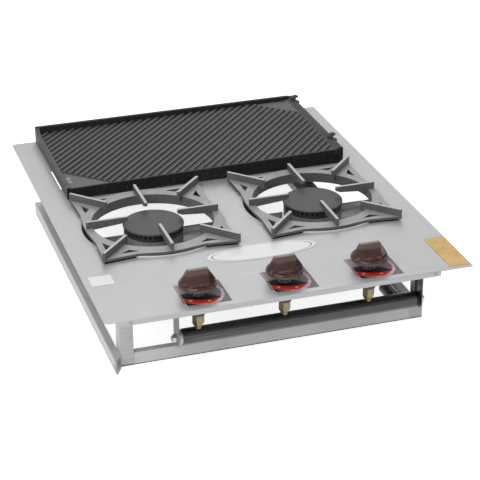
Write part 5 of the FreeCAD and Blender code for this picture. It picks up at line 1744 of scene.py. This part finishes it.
@dataclass
class Taps(Assembly):
    """The three taps with knobs and dials."""

    title: str = "taps"
    knob_foot: tuple[Point, ...] = (
        (0.0240, 0.0000),
        (0.0290, 0.0000),
        (0.0298, 0.0005),
        (0.0300, 0.0014),
        (0.0300, 0.0040),
        (0.0296, 0.0052),
        (0.0284, 0.0068),
        (0.0276, 0.0073),
        (0.0262, 0.0069),
        (0.0230, 0.0060),
        (0.0120, 0.0062),
        (0.0060, 0.0062),
        (0.0060, 0.0040),
        (0.0240, 0.0040),
    )
    grip_body: tuple[Point, ...] = (
        (0.0290, 0.0045),
        (0.0289, 0.0068),
        (0.0278, 0.0098),
        (0.0246, 0.0150),
        (0.0205, 0.0215),
        (0.0166, 0.0280),
    )
    grip_flanks: tuple[Triple, ...] = ((0.0148, 0.0095, 0.42), (0.0108, 0.0205, 1.2))
    grip_corner: Triple = (0.0165, 0.0095, 0.0180)
    corner_lean: Point = (0.95, 0.50)
    grip_edge: float = 0.5 * MM
    press_travel: float = 3.0 * MM
    edge: float = 0.3 * MM
    stem_reach: float = 7.0 * MM
    hex_foot: float = 0.0610
    hex_waist: float = 0.0665
    hex_top: float = 0.0790
    hex_taper: float = 0.70
    hex_rise: float = 1.5 * MM
    washer_edge: float = 0.4 * MM
    washer_reach: float = 0.02
    washer_squeeze: Triple = (1.05, 1.05, 0.5)

    def build(self) -> None:
        """Builds each tap from its body up to its knob."""
        knob = self._knob()
        for tap in TAPS:
            self.swap(f"air_shutter_{tap}", BRACKET_STEEL, "shutter_steel", body=f"shutter_{tap}")
            self._body(tap)
            self.coat(frame["nodes"][f"tap_plug_{tap}"], TAP_BRASS)
            self.swap(f"tap_stem_{tap}", STEM_STEEL, "stem_steel", body=f"tap_push_{tap}")
            self._spring(tap)
            self.swap(f"tap_bonnet_{tap}", STEM_STEEL, "stem_steel", self.edge)
            piece = Bench.copy(knob, f"knob_{tap}_form", (TAP_X[tap], 0.0, 0.0))
            self.dress(piece, KNOB_BROWN, f"tap_push_{tap}", "knob_brown", (f"knob_{tap}",))
            dial = DialPrint(f"dial_print_{tap}", (TAP_X[tap], TAP_Y))
            self.swap(f"dial_plate_{tap}", dial, "dial_print")
        bpy.data.objects.remove(knob)
        self._washers()

    def _knob(self) -> Object:
        """The knob's form on the axis x = 0: a dished skirt under a chamfered grip.

        Returns:
            The knob, as a pattern for its copies.
        """
        middle = (0.0, TAP_Y)
        foot = [(reach, height + KNOB_BASE) for reach, height in self.knob_foot]
        body = [(reach, height + KNOB_BASE) for reach, height in self.grip_body]
        skirt = Bench.turn("knob_pattern", middle, foot, sides=72, ring=True)
        grip = Bench.turn("knob_grip", middle, body, sides=72)
        x, y, z = self.grip_corner
        for sign in (-1, 1):
            for out, up, lean in self.grip_flanks:
                Bench.slice(grip, (0.0, TAP_Y + out * sign, KNOB_BASE + up), (0.0, sign, lean))
            for across in (-1, 1):
                point = (x * across, TAP_Y + y * sign, KNOB_BASE + z)
                Bench.slice(grip, point, (across, self.corner_lean[0] * sign, self.corner_lean[1]))
        Bench.round_off(grip, self.grip_edge, steps=3, angle=18.0)
        knob = Bench.unite(skirt, grip)
        Bench.round_off(knob, self.edge, angle=50.0)
        Bench.smooth(knob, 30.0)
        return knob

    def _body(self, tap: str) -> None:
        """Dresses one tap body, its hexagon drawn in towards the pipe.

        Args:
            tap: The tap's name.
        """
        node = f"tap_body_{tap}"
        piece = Bench.copy_node(node, node + "_form", True)
        foot = Vector((TAP_X[tap], TAP_Y, self.hex_foot))
        Bench.open(piece)
        bpy.ops.mesh.bisect(plane_co=(0, 0, self.hex_waist), plane_no=(0, 0, 1))
        Bench.pick(piece, lambda p: abs(p.z - foot.z) < TOUCH and (p - foot).xy.length > self.stem_reach)
        bpy.ops.transform.resize(value=(self.hex_taper, self.hex_taper, 1.0), center_override=foot)
        Bench.pick(piece, lambda p: abs(p.z - self.hex_top) < TOUCH)
        bpy.ops.transform.translate(value=(0.0, 0.0, self.hex_rise))
        bpy.ops.object.mode_set(mode="OBJECT")
        Bench.round_off(piece, self.edge)
        Bench.smooth(piece)
        self.dress(piece, TAP_BRASS, "base", "tap_brass", (node,))

    def _spring(self, tap: str) -> None:
        """Dresses one return spring, on a mesh of its own.

        Args:
            tap: The tap's name.
        """
        node = f"tap_spring_{tap}"
        spring = self.swap(node, SPRING_WIRE, "spring_steel")
        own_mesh(spring)

    def _washers(self) -> None:
        """Dresses the fibre washers, squeezed proud of the brass."""
        piece = Bench.copy_node("tap_washers", "tap_washers_form", True)
        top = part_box("tap_washers")[1][2]
        Bench.open(piece)
        for tap in TAPS:
            centre = (TAP_X[tap], TAP_Y, top)
            Bench.pick(piece, lambda p: abs(p.x - centre[0]) < self.washer_reach)
            bpy.ops.transform.resize(value=self.washer_squeeze, center_override=centre)
        bpy.ops.object.mode_set(mode="OBJECT")
        Bench.round_off(piece, self.washer_edge)
        Bench.smooth(piece)
        self.dress(piece, SEAL_BLACK, "base", "seal_black", ("tap_washers",))


@dataclass(frozen=True)
class Label:
    """One blank label: its node and slot, its place and size, and its paper."""

    node: str
    slot: str
    middle: Triple
    size: Point
    tone: Tone
    rim: Tone
    mottle: float

    def paper(self) -> PlainLabel:
        """The finish that suits its place and size."""
        half = (self.size[0] / 2, self.size[1] / 2)
        return PlainLabel(self.node + "_print", self.tone, self.rim, self.middle, half, mottle=self.mottle)


@dataclass
class Markings(Assembly):
    """The blank badge and labels."""

    title: str = "markings"
    labels: tuple[Label, ...] = (
        Label(
            node="rating_label",
            slot="label_white",
            middle=(-0.2715, -0.228, PLATE_TOP),
            size=(0.037, 0.033),
            tone=(0.92, 0.92, 0.92),
            rim=(0.74, 0.74, 0.74),
            mottle=0.02,
        ),
        Label(
            node="amber_label",
            slot="label_amber",
            middle=(0.281, -0.307, PLATE_TOP),
            size=(0.035, 0.106),
            tone=(0.80, 0.50, 0.15),
            rim=(0.58, 0.33, 0.08),
            mottle=0.16,
        ),
    )
    label_thick: float = 0.4 * MM
    label_corner: float = 1.6 * MM
    label_edge: float = 0.12 * MM
    badge_thick: float = 0.6 * MM
    badge_rim: float = 1.1 * MM
    badge_slope: Point = (0.3 * MM, -0.15 * MM)
    badge_edge: float = 0.15 * MM

    def build(self) -> None:
        """Builds the badge and both labels."""
        self._badge(OvalBadge("badge_blank_print"))
        for label in self.labels:
            name = label.node + "_form"
            piece = Bench.sheet(name, label.middle, label.size, self.label_thick, self.label_corner)
            Bench.round_off(piece, self.label_edge, angle=60.0)
            Bench.smooth(piece)
            self.dress(piece, label.paper(), "base", label.slot, (label.node,))

    def _badge(self, enamel: OvalBadge) -> None:
        """Builds the oval badge: a raised rim round a slightly sunken field.

        Args:
            enamel: The badge's finish, which holds its place and size.
        """
        middle = enamel.middle
        Bench.clear()
        bpy.ops.mesh.primitive_circle_add(vertices=96, radius=1.0, location=middle, fill_type="NGON")
        badge = Bench.named("badge_plate_form")
        Bench.open(badge)
        bpy.ops.transform.resize(value=(*enamel.half, 1.0), center_override=middle)
        bpy.ops.mesh.extrude_region_move(TRANSFORM_OT_translate={"value": (0, 0, self.badge_thick)})
        bpy.ops.mesh.inset(thickness=self.badge_rim, depth=0.0)
        width, depth = self.badge_slope
        bpy.ops.mesh.inset(thickness=width, depth=depth)
        Bench.shut(badge)
        Bench.round_off(badge, self.badge_edge, angle=50.0)
        Bench.smooth(badge)
        self.dress(badge, enamel, "base", "badge_print", ("badge_plate",))


@dataclass(frozen=True)
class Studio:
    """Floor, light and camera."""

    eye: Triple = (-0.7529, -2.4643, 1.2877)
    target: Triple = (-0.0213, -0.1591, PLATE_TOP)
    roll: float = -0.56
    lens: float = 122.83
    sensor: float = 36.0
    sight: float = 50.0
    floor_size: float = 14.0
    floor_tone: Tone = (0.86, 0.86, 0.86)
    floor_glow: float = 0.75
    fill: float = 0.52
    aim: Triple = (0.0, 0.0, 0.1)

    def build(self) -> None:
        """Sets up everything round the object."""
        self._floor()
        self._world()
        self._softbox("key_softbox", (-1.5, -1.3, 2.0), size=1.8, power=30.0)
        self._softbox("back_softbox", (0.6, 1.9, 1.9), size=1.6, power=12.0)
        self._camera()
        bpy.context.scene.view_settings.view_transform = "Standard"

    def _floor(self) -> None:
        """The plain pale floor, white to the eye, which keeps the object's shadow."""
        Bench.clear()
        bpy.ops.mesh.primitive_plane_add(size=self.floor_size, location=(0, 0, 0))
        floor = Bench.named("studio_floor")
        shader = Shader("studio_floor_white")
        matt = shader.node("ShaderNodeBsdfDiffuse", {}, {"Color": self.floor_tone}).outputs[0]
        glow = shader.node("ShaderNodeEmission", {}, {"Strength": self.floor_glow}).outputs[0]
        both = shader.node("ShaderNodeAddShader", {}, {0: matt, 1: glow}).outputs[0]
        seen = shader.rays("Is Camera Ray", "Is Glossy Ray", "Is Transmission Ray")
        shader.close(shader.node("ShaderNodeMixShader", {}, {0: seen, 1: matt, 2: both}))
        floor.data.materials.append(shader.home)

    def _world(self) -> None:
        """White to the eye and to gloss, and a plain level of light."""
        air = Shader("studio_air", world=True)
        bpy.context.scene.world = air.home
        level = air.rays("Is Camera Ray", "Is Glossy Ray") * (1.0 - self.fill) + self.fill
        air.close(air.node("ShaderNodeBackground", {}, {"Strength": level}))

    def _softbox(self, name: str, place: Triple, size: float, power: float) -> None:
        """One soft square light that faces the object.

        Args:
            name: The light's name.
            place: Where it hangs.
            size: The length of its side.
            power: Its power in watts.
        """
        data = bpy.data.lights.new(name, "AREA")
        data.shape = "SQUARE"
        data.size = size
        data.energy = power
        self._hang(bpy.data.objects.new(name, data), place, self.aim)

    @staticmethod
    def _hang(item: Object, place: Triple, aim: Triple, roll: float = 0.0) -> None:
        """Puts a light or the camera at its place, facing a point.

        Args:
            item: The light or the camera.
            place: Where it hangs.
            aim: The point that it faces.
            roll: Its turn about the line of sight, in degrees.
        """
        item.location = place
        item.rotation_mode = "QUATERNION"
        turn = (Vector(aim) - Vector(place)).to_track_quat("-Z", "Y")
        item.rotation_quaternion = turn @ Quaternion((0, 0, 1), math.radians(roll))
        bpy.context.scene.collection.objects.link(item)

    def _camera(self) -> None:
        """The camera at the photograph's angle."""
        data = bpy.data.cameras.new("camera")
        data.sensor_width = self.sensor
        data.lens = self.lens
        data.clip_end = self.sight
        camera = bpy.data.objects.new("camera", data)
        self._hang(camera, self.eye, self.target, self.roll)
        bpy.context.scene.camera = camera


def main() -> None:
    """Builds the studio and every sub-assembly, and reports the pieces."""
    logging.basicConfig(level=logging.INFO, format="%(message)s")
    Studio().build()
    for kind in (TopPlate, BarFrame, Brackets, Burners, Grates, Griddle, Manifold, Taps, Markings):
        assembly = kind()
        assembly.build()
        assembly.report()
    Bench.clear()


if __name__ == "__main__":
    main()
